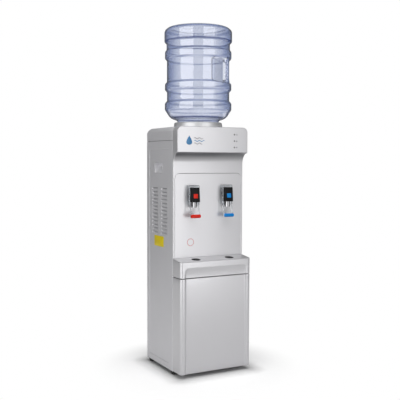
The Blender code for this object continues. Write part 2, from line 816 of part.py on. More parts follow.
def make_door_liner(look):
    back = DOOR_BACK - LINER_SETBACK
    liner = box("door_liner", (-HALF + WALL + GAP, back - LINER_THICKNESS, DOOR_BOTTOM + WALL + GAP),
                (HINGE_X - HINGE_RADIUS, back, DOOR_TOP - WALL - GAP))
    return finish(bevel(liner, SEAM_EDGE), look)


def make_hinge_pins(look):
    lower = rod("hinge_pin_lower", (HINGE_X, HINGE_Y, FOOT_HEIGHT),
                (HINGE_X, HINGE_Y, DOOR_BOTTOM + PIN_REACH - GAP), PIN_RADIUS)
    upper = rod("hinge_pin_upper", (HINGE_X, HINGE_Y, DOOR_TOP - PIN_REACH + GAP),
                (HINGE_X, HINGE_Y, TRAY_BOTTOM + WALL), PIN_RADIUS)
    finish(lower, look)
    finish(upper, look)


def make_door_magnet(look):
    top = CABINET_TOP - THIN_WALL - GAP
    magnet = box("door_magnet", (-MAGNET_OFFSET, JOINT + GAP, top - MAGNET_HEIGHT),
                 (-MAGNET_OFFSET + MAGNET_LENGTH, JOINT + GAP + MAGNET_DEPTH, top))
    return finish(bevel(magnet, SEAM_EDGE), look)


def make_base_pan(look):
    pan = box("base_pan", (-HALF, JOINT, FOOT_HEIGHT), (HALF, REAR, FLOOR_TOP))
    edge = HALF - SHEET - GAP
    back = REAR - SHEET - GAP
    rim = box("base_rim", (-edge, FLANGE_BACK, FLOOR_TOP - SHEET / 2), (edge, back, FLOOR_TOP + RIM_HEIGHT))
    cut(rim, box("base_rim_hollow", (-edge + SHEET, FLANGE_BACK + SHEET, FOOT_HEIGHT - OVERRUN),
                 (edge - SHEET, back - SHEET, FLOOR_TOP + RIM_HEIGHT + OVERRUN)))
    join(pan, rim)
    join(pan, box("hinge_tab", (HINGE_X - TAB_REACH, HINGE_Y - TAB_REACH, FOOT_HEIGHT),
                  (HALF, JOINT + OVERRUN, FLOOR_TOP)))
    cut(pan, rod("lower_pin_hole", (HINGE_X, HINGE_Y, FOOT_HEIGHT - OVERRUN),
                 (HINGE_X, HINGE_Y, FLOOR_TOP + OVERRUN), PIN_RADIUS + GAP))
    return finish(pan, look)


def make_feet(look):
    top = FOOT_HEIGHT - GAP
    profile = [(0, top), (FOOT_RADIUS, top), (FOOT_RADIUS, top / 2), (FOOT_RADIUS - FOOT_TAPER, 0), (0, 0)]
    for row, y in (("front", JOINT + FOOT_INSET), ("rear", REAR - FOOT_INSET)):
        for side, label in ((-1, "left"), (1, "right")):
            place = (side * (HALF - FOOT_INSET), y, 0)
            finish(turned("foot_" + row + "_" + label, profile, place, SMALL_SIDES), look)


def louvre_slots(side):
    slots = []
    for column in range(2):
        front = JOINT + LOUVRE_SETBACK + column * LOUVRE_SPACING
        for row in range(LOUVRE_ROWS):
            top = COVER_BOTTOM - LOUVRE_DROP - row * LOUVRE_PITCH
            slots.append(((side * HALF - OVERRUN, front, top - LOUVRE_SLOT),
                          (side * HALF + OVERRUN, front + LOUVRE_LENGTH, top)))
    return slots


def make_side_panel(side, label, look):
    outer = side * HALF
    inner = side * (HALF - SHEET)
    lip = side * (HALF - FLANGE)
    plan = [(outer, JOINT), (outer, REAR), (lip, REAR), (lip, REAR - SHEET), (inner, REAR - SHEET),
            (inner, JOINT + SHEET), (lip, JOINT + SHEET), (lip, JOINT)]
    low = FLOOR_TOP + GAP
    panel = prism(label + "_side_panel", plan, "Z", low, COVER_BOTTOM - GAP)
    field_low = low + SIDE_FIELD_RISE
    field_top = COVER_BOTTOM - SIDE_FIELD_DROP
    field_front = JOINT + SIDE_FIELD_FRONT
    field_back = REAR - SIDE_FIELD_REAR
    field = filleted([(field_front, field_low, SIDE_FIELD_RADIUS), (field_back, field_low, SIDE_FIELD_RADIUS),
                      (field_back, field_top, SIDE_FIELD_RADIUS), (field_front, field_top, SIDE_FIELD_RADIUS)])
    cut(panel, prism("side_field", field, "X", side * (HALF - SIDE_FIELD_STEP), side * (HALF + OVERRUN)))
    cut(panel, boxes("louvres", louvre_slots(side)))
    front = JOINT + GRIP_SETBACK
    top = COVER_BOTTOM - GRIP_DROP
    cut(panel, box("grip_cutout", (outer - OVERRUN, front, top - GRIP_HEIGHT),
                   (outer + OVERRUN, front + GRIP_LENGTH, top)))
    return finish(panel, look)


def make_grip_cup(side, label, look):
    """Wedge-shaped finger pocket, deepest behind its top edge."""
    front = JOINT + GRIP_SETBACK + GAP
    back = front + GRIP_LENGTH - 2 * GAP
    top = COVER_BOTTOM - GRIP_DROP - GAP
    low = top - GRIP_HEIGHT + 2 * GAP
    face = side * HALF
    deep = side * (HALF - GRIP_DEPTH)
    outline = [(face, low), (face, top), (deep, top), (deep, top - GRIP_HOOK),
               (side * (HALF - THIN_WALL), low)]
    cup = prism("grip_cup_" + label, outline, "Y", front, back)
    far = side * (HALF - GRIP_DEPTH + THIN_WALL)
    out = side * (HALF + OVERRUN)
    hollow = [(out, low + THIN_WALL), (out, top - THIN_WALL), (far, top - THIN_WALL),
              (far, top - GRIP_HOOK), (side * (HALF - THIN_WALL / 2), low + THIN_WALL)]
    cut(cup, prism("grip_hollow", hollow, "Y", front + THIN_WALL, back - THIN_WALL))
    return finish(cup, look)


def switch_places():
    return (("hot_switch", SWITCH_HEIGHT + SWITCH_SPACING / 2), ("cold_switch", SWITCH_HEIGHT - SWITCH_SPACING / 2))


def make_rear_panel(look):
    edge = HALF - REAR_SIDE_GAP
    rim = REAR_FACE + REAR_RIM
    plan = [(-edge, rim), (-edge, REAR_FACE), (edge, REAR_FACE), (edge, rim), (edge - SHEET, rim),
            (edge - SHEET, REAR_FACE + SHEET), (-edge + SHEET, REAR_FACE + SHEET), (-edge + SHEET, rim)]
    panel = prism("rear_panel", plan, "Z", FLOOR_TOP + GAP, COVER_BOTTOM - GAP)
    near = REAR_FACE - OVERRUN
    far = REAR_FACE + OVERRUN
    slots = []
    for row in range(VENT_ROWS):
        z = COOLER_Z + (row - (VENT_ROWS - 1) / 2) * VENT_PITCH
        slots.append(((-VENT_LENGTH / 2, near, z - VENT_SLOT / 2), (VENT_LENGTH / 2, far, z + VENT_SLOT / 2)))
    half = SWITCH_HALF + SWITCH_GAP
    tall = SWITCH_HALF_HEIGHT + SWITCH_GAP
    for name, z in switch_places():
        slots.append(((SWITCH_OFFSET - half, near, z - tall), (SWITCH_OFFSET + half, far, z + tall)))
    cut(panel, boxes("rear_slots", slots))
    cut(panel, rod("drain_hole", (BOILER_OFFSET, near, DRAIN_Z), (BOILER_OFFSET, far, DRAIN_Z),
                   DRAIN_RADIUS + GAP))
    cut(panel, rod("gland_hole", (GLAND_OFFSET, near, GLAND_HEIGHT), (GLAND_OFFSET, far, GLAND_HEIGHT),
                   GLAND_RADIUS + GAP))
    return finish(panel, look)


def make_switches(look):
    """Rockers that lean on their lower half, which is off."""
    for name, z in switch_places():
        outer = SWITCH_PIVOT_DEPTH + SWITCH_PROUD
        outline = [(-SWITCH_PIVOT_DEPTH, 0), (outer / 2, -SWITCH_HALF_HEIGHT), (outer, -SWITCH_HALF_HEIGHT),
                   (outer - SWITCH_PROUD / 2, 0), (outer, SWITCH_HALF_HEIGHT), (outer / 2, SWITCH_HALF_HEIGHT)]
        rocker = prism(name, outline, "X", -SWITCH_HALF, SWITCH_HALF)
        rocker.data.transform(Matrix.Rotation(-SWITCH_TILT, 4, "X"))
        rocker.location = (SWITCH_OFFSET, SWITCH_Y, z)
        finish(rocker, look)


def make_gland(look):
    gland = rod("power_gland", (GLAND_OFFSET, REAR_FACE - GLAND_LENGTH / 2, GLAND_HEIGHT),
                (GLAND_OFFSET, REAR_FACE + GLAND_LENGTH / 2, GLAND_HEIGHT), GLAND_RADIUS)
    seat = REAR_FACE + SHEET + GAP
    join(gland, rod("gland_flange", (GLAND_OFFSET, seat, GLAND_HEIGHT),
                    (GLAND_OFFSET, seat + GLAND_FLANGE, GLAND_HEIGHT), GLAND_FLANGE_RADIUS))
    cut(gland, rod("gland_bore", (GLAND_OFFSET, REAR_FACE - GLAND_LENGTH, GLAND_HEIGHT),
                   (GLAND_OFFSET, REAR_FACE + GLAND_LENGTH, GLAND_HEIGHT), GLAND_BORE, FINE_SIDES))
    return finish(gland, look)


def make_cabinet_box(look):
    edge = HALF - CABINET_SIDE_GAP
    front = FLANGE_BACK + SHEET + GAP
    back = REAR_FACE - GAP
    low = FLOOR_TOP + GAP
    item = box("cabinet_box", (-edge, front, low), (edge, back, CABINET_TOP))
    cut(item, box("cabinet_hollow", (-edge + THIN_WALL, front - OVERRUN, low + THIN_WALL),
                  (edge - THIN_WALL, back - THIN_WALL, CABINET_TOP - THIN_WALL)))
    return finish(item, look)


def make_component_deck(look):
    edge = HALF - SHEET - GAP
    back = REAR_FACE - GAP
    low = DECK_TOP - DECK_FLANGE
    deck = box("component_deck", (-edge, FLANGE_BACK, low), (edge, back, DECK_TOP))
    cut(deck, box("deck_hollow", (-edge + SHEET, FLANGE_BACK + SHEET, low - OVERRUN),
                  (edge - SHEET, back - SHEET, DECK_TOP - SHEET)))
    return finish(deck, look)


def make_collar(look):
    low = CASE_TOP + GAP
    top = CASE_TOP + COLLAR_HEIGHT
    step = low + FUNNEL_FLANGE + GAP
    rebate = FUNNEL_RADIUS + GAP
    profile = [(COLLAR_BORE, top), (COLLAR_TOP_RADIUS - COLLAR_EDGE, top),
               (COLLAR_TOP_RADIUS, top - COLLAR_EDGE), (COLLAR_RADIUS, low + COLLAR_EDGE),
               (COLLAR_RADIUS, low), (rebate, low), (rebate, step), (COLLAR_BORE, step)]
    return finish(turned("collar_ring", profile, (0, 0, 0), COLLAR_SIDES), look)


def cone_radius(z):
    """Radius of the bottle's shoulder cone at a height."""
    return CONE_TOP_RADIUS - (CONE_TOP - z)


def make_receptacle(look):
    low = CASE_TOP + GAP
    top = low + FUNNEL_FLANGE
    play = 2 * GAP
    bore = TUBE_RADIUS - WALL
    outer = cone_radius(low) + play + WALL
    inner = cone_radius(top) + play
    profile = [(FUNNEL_RADIUS, top), (FUNNEL_RADIUS, low), (outer, low),
               (TUBE_RADIUS, low - (outer - TUBE_RADIUS)), (TUBE_RADIUS, TUBE_BOTTOM), (bore, TUBE_BOTTOM),
               (bore, top - (inner - bore)), (inner, top)]
    return finish(turned("bottle_receptacle", profile), look)


def make_probe(look):
    base = TUBE_BOTTOM + PROBE_RISE
    radius = TUBE_RADIUS - WALL - GAP
    top = base + PROBE_HEIGHT
    profile = [(0, top), (PROBE_RADIUS / 2, top), (PROBE_RADIUS, top - PROBE_RADIUS),
               (PROBE_RADIUS, base + PROBE_BASE), (radius, base + PROBE_BASE), (radius, base), (0, base)]
    probe = turned("bottle_probe", profile, (0, 0, 0), SMALL_SIDES)
    for step in range(PROBE_HOLES):
        turn = 2 * math.pi * step / PROBE_HOLES
        x = PROBE_HOLE_CIRCLE * math.cos(turn)
        y = PROBE_HOLE_CIRCLE * math.sin(turn)
        cut(probe, rod("probe_hole", (x, y, base - OVERRUN), (x, y, base + PROBE_BASE + OVERRUN),
                       PROBE_HOLE, FINE_SIDES))
    return finish(probe, look)


def bottle_outline():
    """Outer (radius, height) line, from the upturned base's centre to the neck's mouth."""
    points = []
    for radius_share, height_share in BOTTLE_SHARES:
        points.append((BOTTLE_RADIUS * radius_share, CONE_TOP + BOTTLE_HEIGHT * height_share))
    neck_top = CONE_LOW - (CONE_LOW_RADIUS - NECK_RADIUS)
    return points + [(CONE_TOP_RADIUS, CONE_TOP), (CONE_LOW_RADIUS, CONE_LOW), (NECK_RADIUS, neck_top),
                     (NECK_RADIUS, CONE_LOW - NECK_LENGTH)]


def inner_line(points, wall):
    """The same line moved inwards by the wall, square to each stretch."""
    normals = []
    for start, end in zip(points, points[1:]):
        run = (Vector(end) - Vector(start)).normalized()
        normals.append(Vector((run.y, -run.x)))
    inner = [(0, points[0][1] - wall)]
    for index in range(1, len(points) - 1):
        before = normals[index - 1]
        after = normals[index]
        shift = (before + after) * wall / (1 + before.dot(after))
        inner.append((points[index][0] + shift.x, points[index][1] + shift.y))
    last = points[-1]
    return inner + [(last[0] - wall, last[1] - OVERRUN)]


def handle_block(name, near, far, half, low, high, radius):
    """A rounded block across the bottle's side, facing the handle's direction."""
    outline = filleted([(-half, low, radius), (half, low, radius), (half, high, radius), (-half, high, radius)])
    block = prism(name, outline, "Y", -far, -near)
    block.data.transform(Matrix.Rotation(HANDLE_ANGLE + math.pi / 2, 4, "Z"))
    return block


def make_bottle(look):
    outer = bottle_outline()
    inner = inner_line(outer, BOTTLE_WALL)
    bottle = turned("bottle", outer + [(0, outer[-1][1])], (0, 0, 0), BOTTLE_SIDES)
    hollow = turned("bottle_hollow", inner + [(0, inner[-1][1])], (0, 0, 0), BOTTLE_SIDES)
    low = CONE_TOP + HANDLE_LOW
    high = low + HANDLE_HEIGHT
    beyond = BOTTLE_RADIUS + OVERRUN
    grow = BOTTLE_WALL
    cut(hollow, handle_block("handle_recess_wall", HANDLE_FLOOR - grow, beyond, HANDLE_HALF + grow,
                             low - grow, high + grow, HANDLE_RADIUS + grow))
    cut(bottle, handle_block("handle_recess", HANDLE_FLOOR, beyond, HANDLE_HALF, low, high, HANDLE_RADIUS))
    cut(bottle, hollow)
    plan = filleted([(-BAR_HALF, -BAR_OUTER, BAR_ROUND), (BAR_HALF, -BAR_OUTER, BAR_ROUND),
                     (BAR_HALF, -BAR_INNER, BAR_ROUND), (-BAR_HALF, -BAR_INNER, BAR_ROUND)])
    bar = prism("handle_bar", plan, "Z", low - grow / 2, high + grow / 2)
    bar.data.transform(Matrix.Rotation(HANDLE_ANGLE + math.pi / 2, 4, "Z"))
    join(bottle, bar)
    finish(bottle, look)
    carry("bottle_seat", (0, 0, CONE_TOP), [bottle])


def make_tap_body(side, label, look):
    x = side * TAP_OFFSET
    spout_y = COLUMN_Y - SPOUT_REACH
    inner_end = COLUMN_Y + SHANK_INNER
    body = rod(label + "_tap_body", (x, inner_end, TAP_HEIGHT), (x, COLUMN_Y - SHANK_REACH, TAP_HEIGHT),
               SHANK_RADIUS)
    join(body, rod("tap_flange", (x, TAP_SEAT, TAP_HEIGHT), (x, TAP_SEAT - TAP_FLANGE, TAP_HEIGHT),
                   TAP_FLANGE_RADIUS, ROUND_SIDES))
    join(body, rod("tap_spout", (x, spout_y, TAP_HEIGHT), (x, spout_y, TAP_HEIGHT - SPOUT_LENGTH),
                   SPOUT_RADIUS, SMALL_SIDES))
    cut(body, rod("shank_bore", (x, inner_end + OVERRUN, TAP_HEIGHT), (x, spout_y, TAP_HEIGHT),
                  SHANK_BORE, FINE_SIDES))
    cut(body, rod("spout_bore", (x, spout_y, TAP_HEIGHT), (x, spout_y, TAP_HEIGHT - SPOUT_LENGTH - OVERRUN),
                  SPOUT_BORE, FINE_SIDES))
    return finish(body, look)


def make_tap_housing(side, label, look):
    """Clear guard round the tap, open behind, below and where the spout passes."""
    x = side * TAP_OFFSET
    front = COLUMN_Y - HOUSING_REACH
    low = TAP_HEIGHT - HOUSING_LOW
    high = TAP_HEIGHT + HOUSING_HIGH
    left = x - HOUSING_HALF
    right = x + HOUSING_HALF
    outline = filleted([(left, low), (right, low), (right, high, HOUSING_RADIUS), (left, high, HOUSING_RADIUS)])
    housing = bevel(prism(label + "_tap_housing", outline, "Y", front, TAP_SEAT), SEAM_EDGE)
    wall = THIN_WALL
    radius = HOUSING_RADIUS - wall
    inside = filleted([(left + wall, low - OVERRUN), (right - wall, low - OVERRUN),
                       (right - wall, high - wall, radius), (left + wall, high - wall, radius)])
    cut(housing, prism("housing_hollow", inside, "Y", front + wall, TAP_SEAT + OVERRUN))
    cut(housing, box("housing_window", (x - HOUSING_WINDOW, front - OVERRUN, low - OVERRUN),
                     (x + HOUSING_WINDOW, front + OVERRUN, TAP_HEIGHT + HOUSING_WINDOW_TOP)))
    cut(housing, rod("pivot_hole", (left - OVERRUN, PIVOT_Y, PIVOT_Z), (right + OVERRUN, PIVOT_Y, PIVOT_Z),
                     PIVOT_RADIUS + GAP, FINE_SIDES))
    return finish(housing, look)


def cap_front(z):
    """The black cap's front face, which leans out downwards."""
    share = (TAP_HEIGHT + CAP_HIGH - z) / (CAP_HIGH + CAP_LOW)
    return COLUMN_Y - CAP_TOP_REACH - CAP_DRAFT * share


def make_tap_cap(side, label, look):
    x = side * TAP_OFFSET
    back = COLUMN_Y - HOUSING_REACH - GAP
    low = TAP_HEIGHT - CAP_LOW
    high = TAP_HEIGHT + CAP_HIGH
    outline = [(back, low), (cap_front(low), low), (cap_front(high), high), (back, high)]
    cap = bevel(prism(label + "_tap_cap", outline, "X", x - CAP_HALF, x + CAP_HALF), CAP_EDGE)
    wall = THIN_WALL
    inside = [(back + OVERRUN, low - OVERRUN), (cap_front(low - OVERRUN) + wall, low - OVERRUN),
              (cap_front(high) + wall, high - wall), (back + OVERRUN, high - wall)]
    cut(cap, prism("cap_hollow", inside, "X", x - CAP_HALF + wall, x + CAP_HALF - wall))
    return finish(cap, look)


def make_tap_marker(side, label, look):
    x = side * TAP_OFFSET
    high = TAP_HEIGHT
    low = high - MARKER_HEIGHT
    outer = GAP + MARKER_THICKNESS
    outline = [(cap_front(low) - GAP, low), (cap_front(low) - outer, low), (cap_front(high) - outer, high),
               (cap_front(high) - GAP, high)]
    marker = prism(label + "_tap_marker", outline, "X", x - MARKER_HALF, x + MARKER_HALF)
    return finish(marker, look)


def make_lever(side, label, look):
    """Clear frame on a cross pin: two arms inside the housing and a foot in front."""
    x = side * TAP_OFFSET
    front = PIVOT_Y - LEVER_THICKNESS / 2
    back = PIVOT_Y + LEVER_THICKNESS / 2
    bend = PIVOT_Z - LEVER_ARM
    heel = bend - LEVER_SLOPE
    toe = heel - LEVER_FOOT
    foot = front - LEVER_STEP
    sole = foot + LEVER_FOOT_THICKNESS
    outline = [(front, PIVOT_Z + LEVER_TOP), (front, bend), (foot, heel), (foot, toe), (sole, toe),
               (sole, heel), (back, bend), (back, PIVOT_Z + LEVER_TOP)]
    half = HOUSING_HALF - THIN_WALL - LEVER_PLAY
    lever = bevel(prism(label + "_lever", outline, "X", x - half, x + half), SEAM_EDGE, 1)
    cut(lever, box("lever_window", (x - LEVER_WINDOW, foot - OVERRUN, toe + LEVER_BRIDGE),
                   (x + LEVER_WINDOW, back + OVERRUN, PIVOT_Z + LEVER_TOP + OVERRUN)))
    reach = HOUSING_HALF - GAP
    join(lever, rod("lever_pin", (x - reach, PIVOT_Y, PIVOT_Z), (x + reach, PIVOT_Y, PIVOT_Z),
                    PIVOT_RADIUS, FINE_SIDES))
    return finish(lever, look)


def make_paddle(side, label, look):
    x = side * TAP_OFFSET
    back = PIVOT_Y - LEVER_THICKNESS / 2 - LEVER_STEP - GAP
    front = back - PADDLE_DEPTH
    low = PIVOT_Z - LEVER_ARM - LEVER_SLOPE - LEVER_FOOT + GAP
    high = low + PADDLE_HEIGHT
    outline = filleted([(x - PADDLE_HALF, back), (x - PADDLE_HALF, front, PADDLE_ROUND),
                        (x + PADDLE_HALF, front, PADDLE_ROUND), (x + PADDLE_HALF, back)])
    paddle = bevel(prism(label + "_paddle", outline, "Z", low, high), 2 * SEAM_EDGE)
    return finish(paddle, look)


def make_taps(looks):
    for side, label in ((-1, "hot"), (1, "cold")):
        make_tap_body(side, label, looks["chrome"])
        make_tap_housing(side, label, looks["clear"])
        make_tap_cap(side, label, looks["black"])
        make_tap_marker(side, label, looks[label])
        lever = make_lever(side, label, looks["clear"])
        paddle = make_paddle(side, label, looks[label])
        carry(label + "_lever_axis", (side * TAP_OFFSET, PIVOT_Y, PIVOT_Z), [lever, paddle])


def make_cold_tank(look):
    """Open-mouthed steel tank with a flat seat for the cooler on its back."""
    wall = TANK_WALL
    mouth = TUBE_RADIUS + MOUTH_PLAY
    inner = TANK_RADIUS - wall
    profile = [(mouth, MOUTH_TOP), (mouth + wall, MOUTH_TOP), (mouth + wall, TANK_TOP),
               (TANK_RADIUS, TANK_TOP - TANK_CROWN), (TANK_RADIUS, TANK_BOTTOM), (0, TANK_BOTTOM),
               (0, TANK_BOTTOM + wall), (inner, TANK_BOTTOM + wall), (inner, TANK_TOP - TANK_CROWN - wall),
               (mouth, TANK_TOP - wall)]
    tank = turned("cold_tank", profile)
    join(tank, box("cooler_seat", (-COOLER_HALF, TANK_RADIUS - COOLER_SEAT, COOLER_Z - COOLER_HALF),
                   (COOLER_HALF, COOLER_REACH, COOLER_Z + COOLER_HALF)))
    for x, y in pipe_outlets():
        cut(tank, rod("tank_outlet", (x, y, TANK_BOTTOM - OVERRUN), (x, y, TANK_BOTTOM + OVERRUN),
                      PIPE_BORE, FINE_SIDES))
    return finish(tank, look)


def pipe_outlets():
    return ((COLD_PIPE_OFFSET, COLD_PIPE_SETBACK), (FEED_OFFSET, BOILER_SETBACK))


def make_insulation(look):
    """Foam cup round the cold tank, cut flat where the cooler's plates pass."""
    inner = TANK_RADIUS + GAP
    outer = TANK_RADIUS + FOAM_THICKNESS
    top = TANK_TOP - GAP
    floor = TANK_BOTTOM - GAP
    profile = [(inner, top), (outer, top), (outer, FOAM_BOTTOM), (0, FOAM_BOTTOM), (0, floor), (inner, floor)]
    foam = turned("cold_tank_insulation", profile)
    cut(foam, box("foam_flat", (-outer - OVERRUN, COOLER_REACH, FOAM_BOTTOM - OVERRUN),
                  (outer + OVERRUN, outer + OVERRUN, top + OVERRUN)))
    half = COOLER_HALF + GAP
    cut(foam, box("foam_window", (-half, 0, COOLER_Z - half), (half, COOLER_REACH + OVERRUN, COOLER_Z + half)))
    for x, y in pipe_outlets():
        cut(foam, rod("foam_outlet", (x, y, FOAM_BOTTOM - OVERRUN), (x, y, floor + OVERRUN),
                      PIPE_RADIUS + GAP, FINE_SIDES))
    return finish(foam, look)


def make_cooler(module_look, sink_look):
    module = box("thermoelectric_module", (-COOLER_HALF, MODULE_FRONT, COOLER_Z - COOLER_HALF),
                 (COOLER_HALF, MODULE_FRONT + MODULE_THICKNESS, COOLER_Z + COOLER_HALF))
    finish(module, module_look)
    low = COOLER_Z - SINK_HALF
    high = COOLER_Z + SINK_HALF
    sink = box("heat_sink", (-SINK_HALF, SINK_FRONT, low), (SINK_HALF, SINK_FRONT + SINK_BASE, high))
    fins = []
    pitch = (2 * SINK_HALF - FIN_THICKNESS) / (SINK_FINS - 1)
    for index in range(SINK_FINS):
        x = -SINK_HALF + index * pitch
        fins.append(((x, SINK_FRONT + SINK_BASE / 2, low), (x + FIN_THICKNESS, SINK_BACK, high)))
    join(sink, boxes("sink_fins", fins))
    finish(sink, sink_look)


def make_fan(frame_look, rotor_look):
    low = COOLER_Z - FAN_HALF
    high = COOLER_Z + FAN_HALF
    outline = filleted([(-FAN_HALF, low, FAN_CORNER), (FAN_HALF, low, FAN_CORNER),
                        (FAN_HALF, high, FAN_CORNER), (-FAN_HALF, high, FAN_CORNER)])
    frame = prism("fan_frame", outline, "Y", FAN_FRONT, FAN_BACK)
    cut(frame, rod("fan_bore", (0, FAN_FRONT - OVERRUN, COOLER_Z), (0, FAN_BACK + OVERRUN, COOLER_Z),
                   FAN_BORE, ROUND_SIDES))
    plate = FAN_BACK - FAN_PLATE
    reach = (FAN_BORE + FAN_HALF) / 2
    join(frame, rod("fan_plate", (0, plate, COOLER_Z), (0, FAN_BACK - GAP, COOLER_Z), HUB_RADIUS))
    half = FAN_STRUT / 2
    join(frame, box("fan_strut_level", (-reach, plate + GAP, COOLER_Z - half),
                    (reach, FAN_BACK - 2 * GAP, COOLER_Z + half)))
    join(frame, box("fan_strut_upright", (-half, plate + 2 * GAP, COOLER_Z - reach),
                    (half, FAN_BACK - 3 * GAP, COOLER_Z + reach)))
    cut(frame, rod("spindle_hole", (0, plate - OVERRUN, COOLER_Z), (0, FAN_BACK + OVERRUN, COOLER_Z),
                   SPINDLE_RADIUS + GAP, FINE_SIDES))
    finish(frame, frame_look)
    make_rotor(plate, rotor_look)


def make_rotor(plate, look):
    """Hub, spindle and pitched blades; the spindle runs in the frame's plate."""
    back = plate - 2 * GAP
    front = back - HUB_DEPTH
    middle = (front + back) / 2
    rotor = rod("fan_rotor", (0, front, COOLER_Z), (0, back, COOLER_Z), HUB_RADIUS)
    mesh = bpy.data.meshes.new("blades")
    shape = bmesh.new()
    root = HUB_RADIUS - BLADE_THICKNESS
    length = ROTOR_RADIUS - root
    for index in range(BLADES):
        around = Matrix.Rotation(2 * math.pi * index / BLADES, 4, "Y")
        out = Matrix.Translation((0, 0, root + length / 2))
        pitch = Matrix.Rotation(BLADE_PITCH, 4, "Z")
        size = Matrix.Diagonal((BLADE_CHORD, BLADE_THICKNESS, length, 1))
        place = Matrix.Translation((0, middle, COOLER_Z)) @ around @ out @ pitch @ size
        bmesh.ops.create_cube(shape, size=BLOCK_SIZE, matrix=place)
    shape.to_mesh(mesh)
    shape.free()
    join(rotor, put("blades", mesh))
    join(rotor, rod("spindle", (0, middle, COOLER_Z), (0, FAN_BACK - 2 * GAP, COOLER_Z),
                    SPINDLE_RADIUS, FINE_SIDES))
    finish(rotor, look)
    carry("fan_axis", (0, middle, COOLER_Z), [rotor])


def make_hot_tank(look):
    """Steel tank on a skirt, with an open neck for the hot water pipe."""
    wall = TANK_WALL
    low = DECK_TOP + GAP
    floor = low + BOILER_SKIRT
    top = low + BOILER_HEIGHT
    neck_top = top + BOILER_NECK_HEIGHT
    bore = BOILER_NECK - wall
    inner = BOILER_RADIUS - wall
    crown = top - BOILER_CROWN
    profile = [(bore, neck_top), (BOILER_NECK, neck_top), (BOILER_NECK, top), (BOILER_RADIUS, crown),
               (BOILER_RADIUS, low), (inner, low), (inner, floor - wall), (0, floor - wall), (0, floor),
               (inner, floor), (inner, crown - wall), (bore, top - wall)]
    tank = turned("hot_tank", profile, (BOILER_OFFSET, BOILER_SETBACK, 0))
    edge = BOILER_SETBACK + BOILER_RADIUS
    cut(tank, rod("drain_outlet", (BOILER_OFFSET, edge - OVERRUN, DRAIN_Z),
                  (BOILER_OFFSET, edge + OVERRUN, DRAIN_Z), DRAIN_BORE, FINE_SIDES))
    side = BOILER_OFFSET + BOILER_RADIUS
    cut(tank, rod("feed_inlet", (side - OVERRUN, BOILER_SETBACK, FEED_Z),
                  (side + OVERRUN, BOILER_SETBACK, FEED_Z), PIPE_BORE, FINE_SIDES))
    return finish(tank, look)


def make_heater(look):
    low = DECK_TOP + HEATER_RISE
    high = low + HEATER_HEIGHT
    inner = BOILER_RADIUS + GAP
    outer = inner + HEATER_THICKNESS
    profile = [(inner, high), (outer, high), (outer, low), (inner, low)]
    band = turned("heater_band", profile, (BOILER_OFFSET, BOILER_SETBACK, 0))
    middle = (low + high) / 2
    lug = box("heater_lug", (-LUG_HALF, -outer - LUG_REACH, middle - LUG_HALF),
              (LUG_HALF, -outer + HEATER_THICKNESS / 2, middle + LUG_HALF))
    lug.location = (BOILER_OFFSET, BOILER_SETBACK, 0)
    join(band, lug)
    return finish(band, look)


def make_power_supply(look):
    low = DECK_TOP + GAP
    supply = box("power_supply", (SUPPLY_OFFSET - SUPPLY_HALF, SUPPLY_SETBACK - SUPPLY_HALF, low),
                 (SUPPLY_OFFSET + SUPPLY_HALF, SUPPLY_SETBACK + SUPPLY_HALF, low + SUPPLY_HEIGHT))
    return finish(bevel(supply, SUPPLY_EDGE), look)


def make_pipes(look):
    end = COLUMN_Y + SHANK_INNER + GAP
    top = TANK_BOTTOM - GAP
    x = COLD_PIPE_OFFSET
    y = COLD_PIPE_SETBACK
    cold = [(x, y, top), (x, y, FOAM_BOTTOM), ((x + TAP_OFFSET) / 2, y - PIPE_RADIUS, TAP_HEIGHT + PIPE_RADIUS),
            (TAP_OFFSET, (y + end) / 2, TAP_HEIGHT), (TAP_OFFSET, end, TAP_HEIGHT)]
    finish(tube("cold_water_pipe", cold, PIPE_RADIUS), look)
    neck = DECK_TOP + GAP + BOILER_HEIGHT + BOILER_NECK_HEIGHT + GAP
    hot = [(BOILER_OFFSET, BOILER_SETBACK, neck), (BOILER_OFFSET, BOILER_SETBACK, neck + PIPE_RADIUS),
           (BOILER_OFFSET, BOILER_SETBACK - PIPE_BEND, neck + PIPE_BEND),
           (-TAP_OFFSET, (BOILER_SETBACK + end) / 2 - PIPE_BEND, TAP_HEIGHT + PIPE_RADIUS),
           (-TAP_OFFSET, end + PIPE_BEND / 2, TAP_HEIGHT), (-TAP_OFFSET, end, TAP_HEIGHT)]
    finish(tube("hot_water_pipe", hot, PIPE_RADIUS), look)
    side = BOILER_OFFSET + BOILER_RADIUS + GAP
    bend = (FEED_OFFSET - side) / 2
    feed = [(FEED_OFFSET, BOILER_SETBACK, top), (FEED_OFFSET, BOILER_SETBACK, FEED_Z + 2 * bend),
            (FEED_OFFSET, BOILER_SETBACK, FEED_Z + bend), (FEED_OFFSET - bend, BOILER_SETBACK, FEED_Z),
            (side, BOILER_SETBACK, FEED_Z)]
    finish(tube("hot_feed_pipe", feed, PIPE_RADIUS), look)


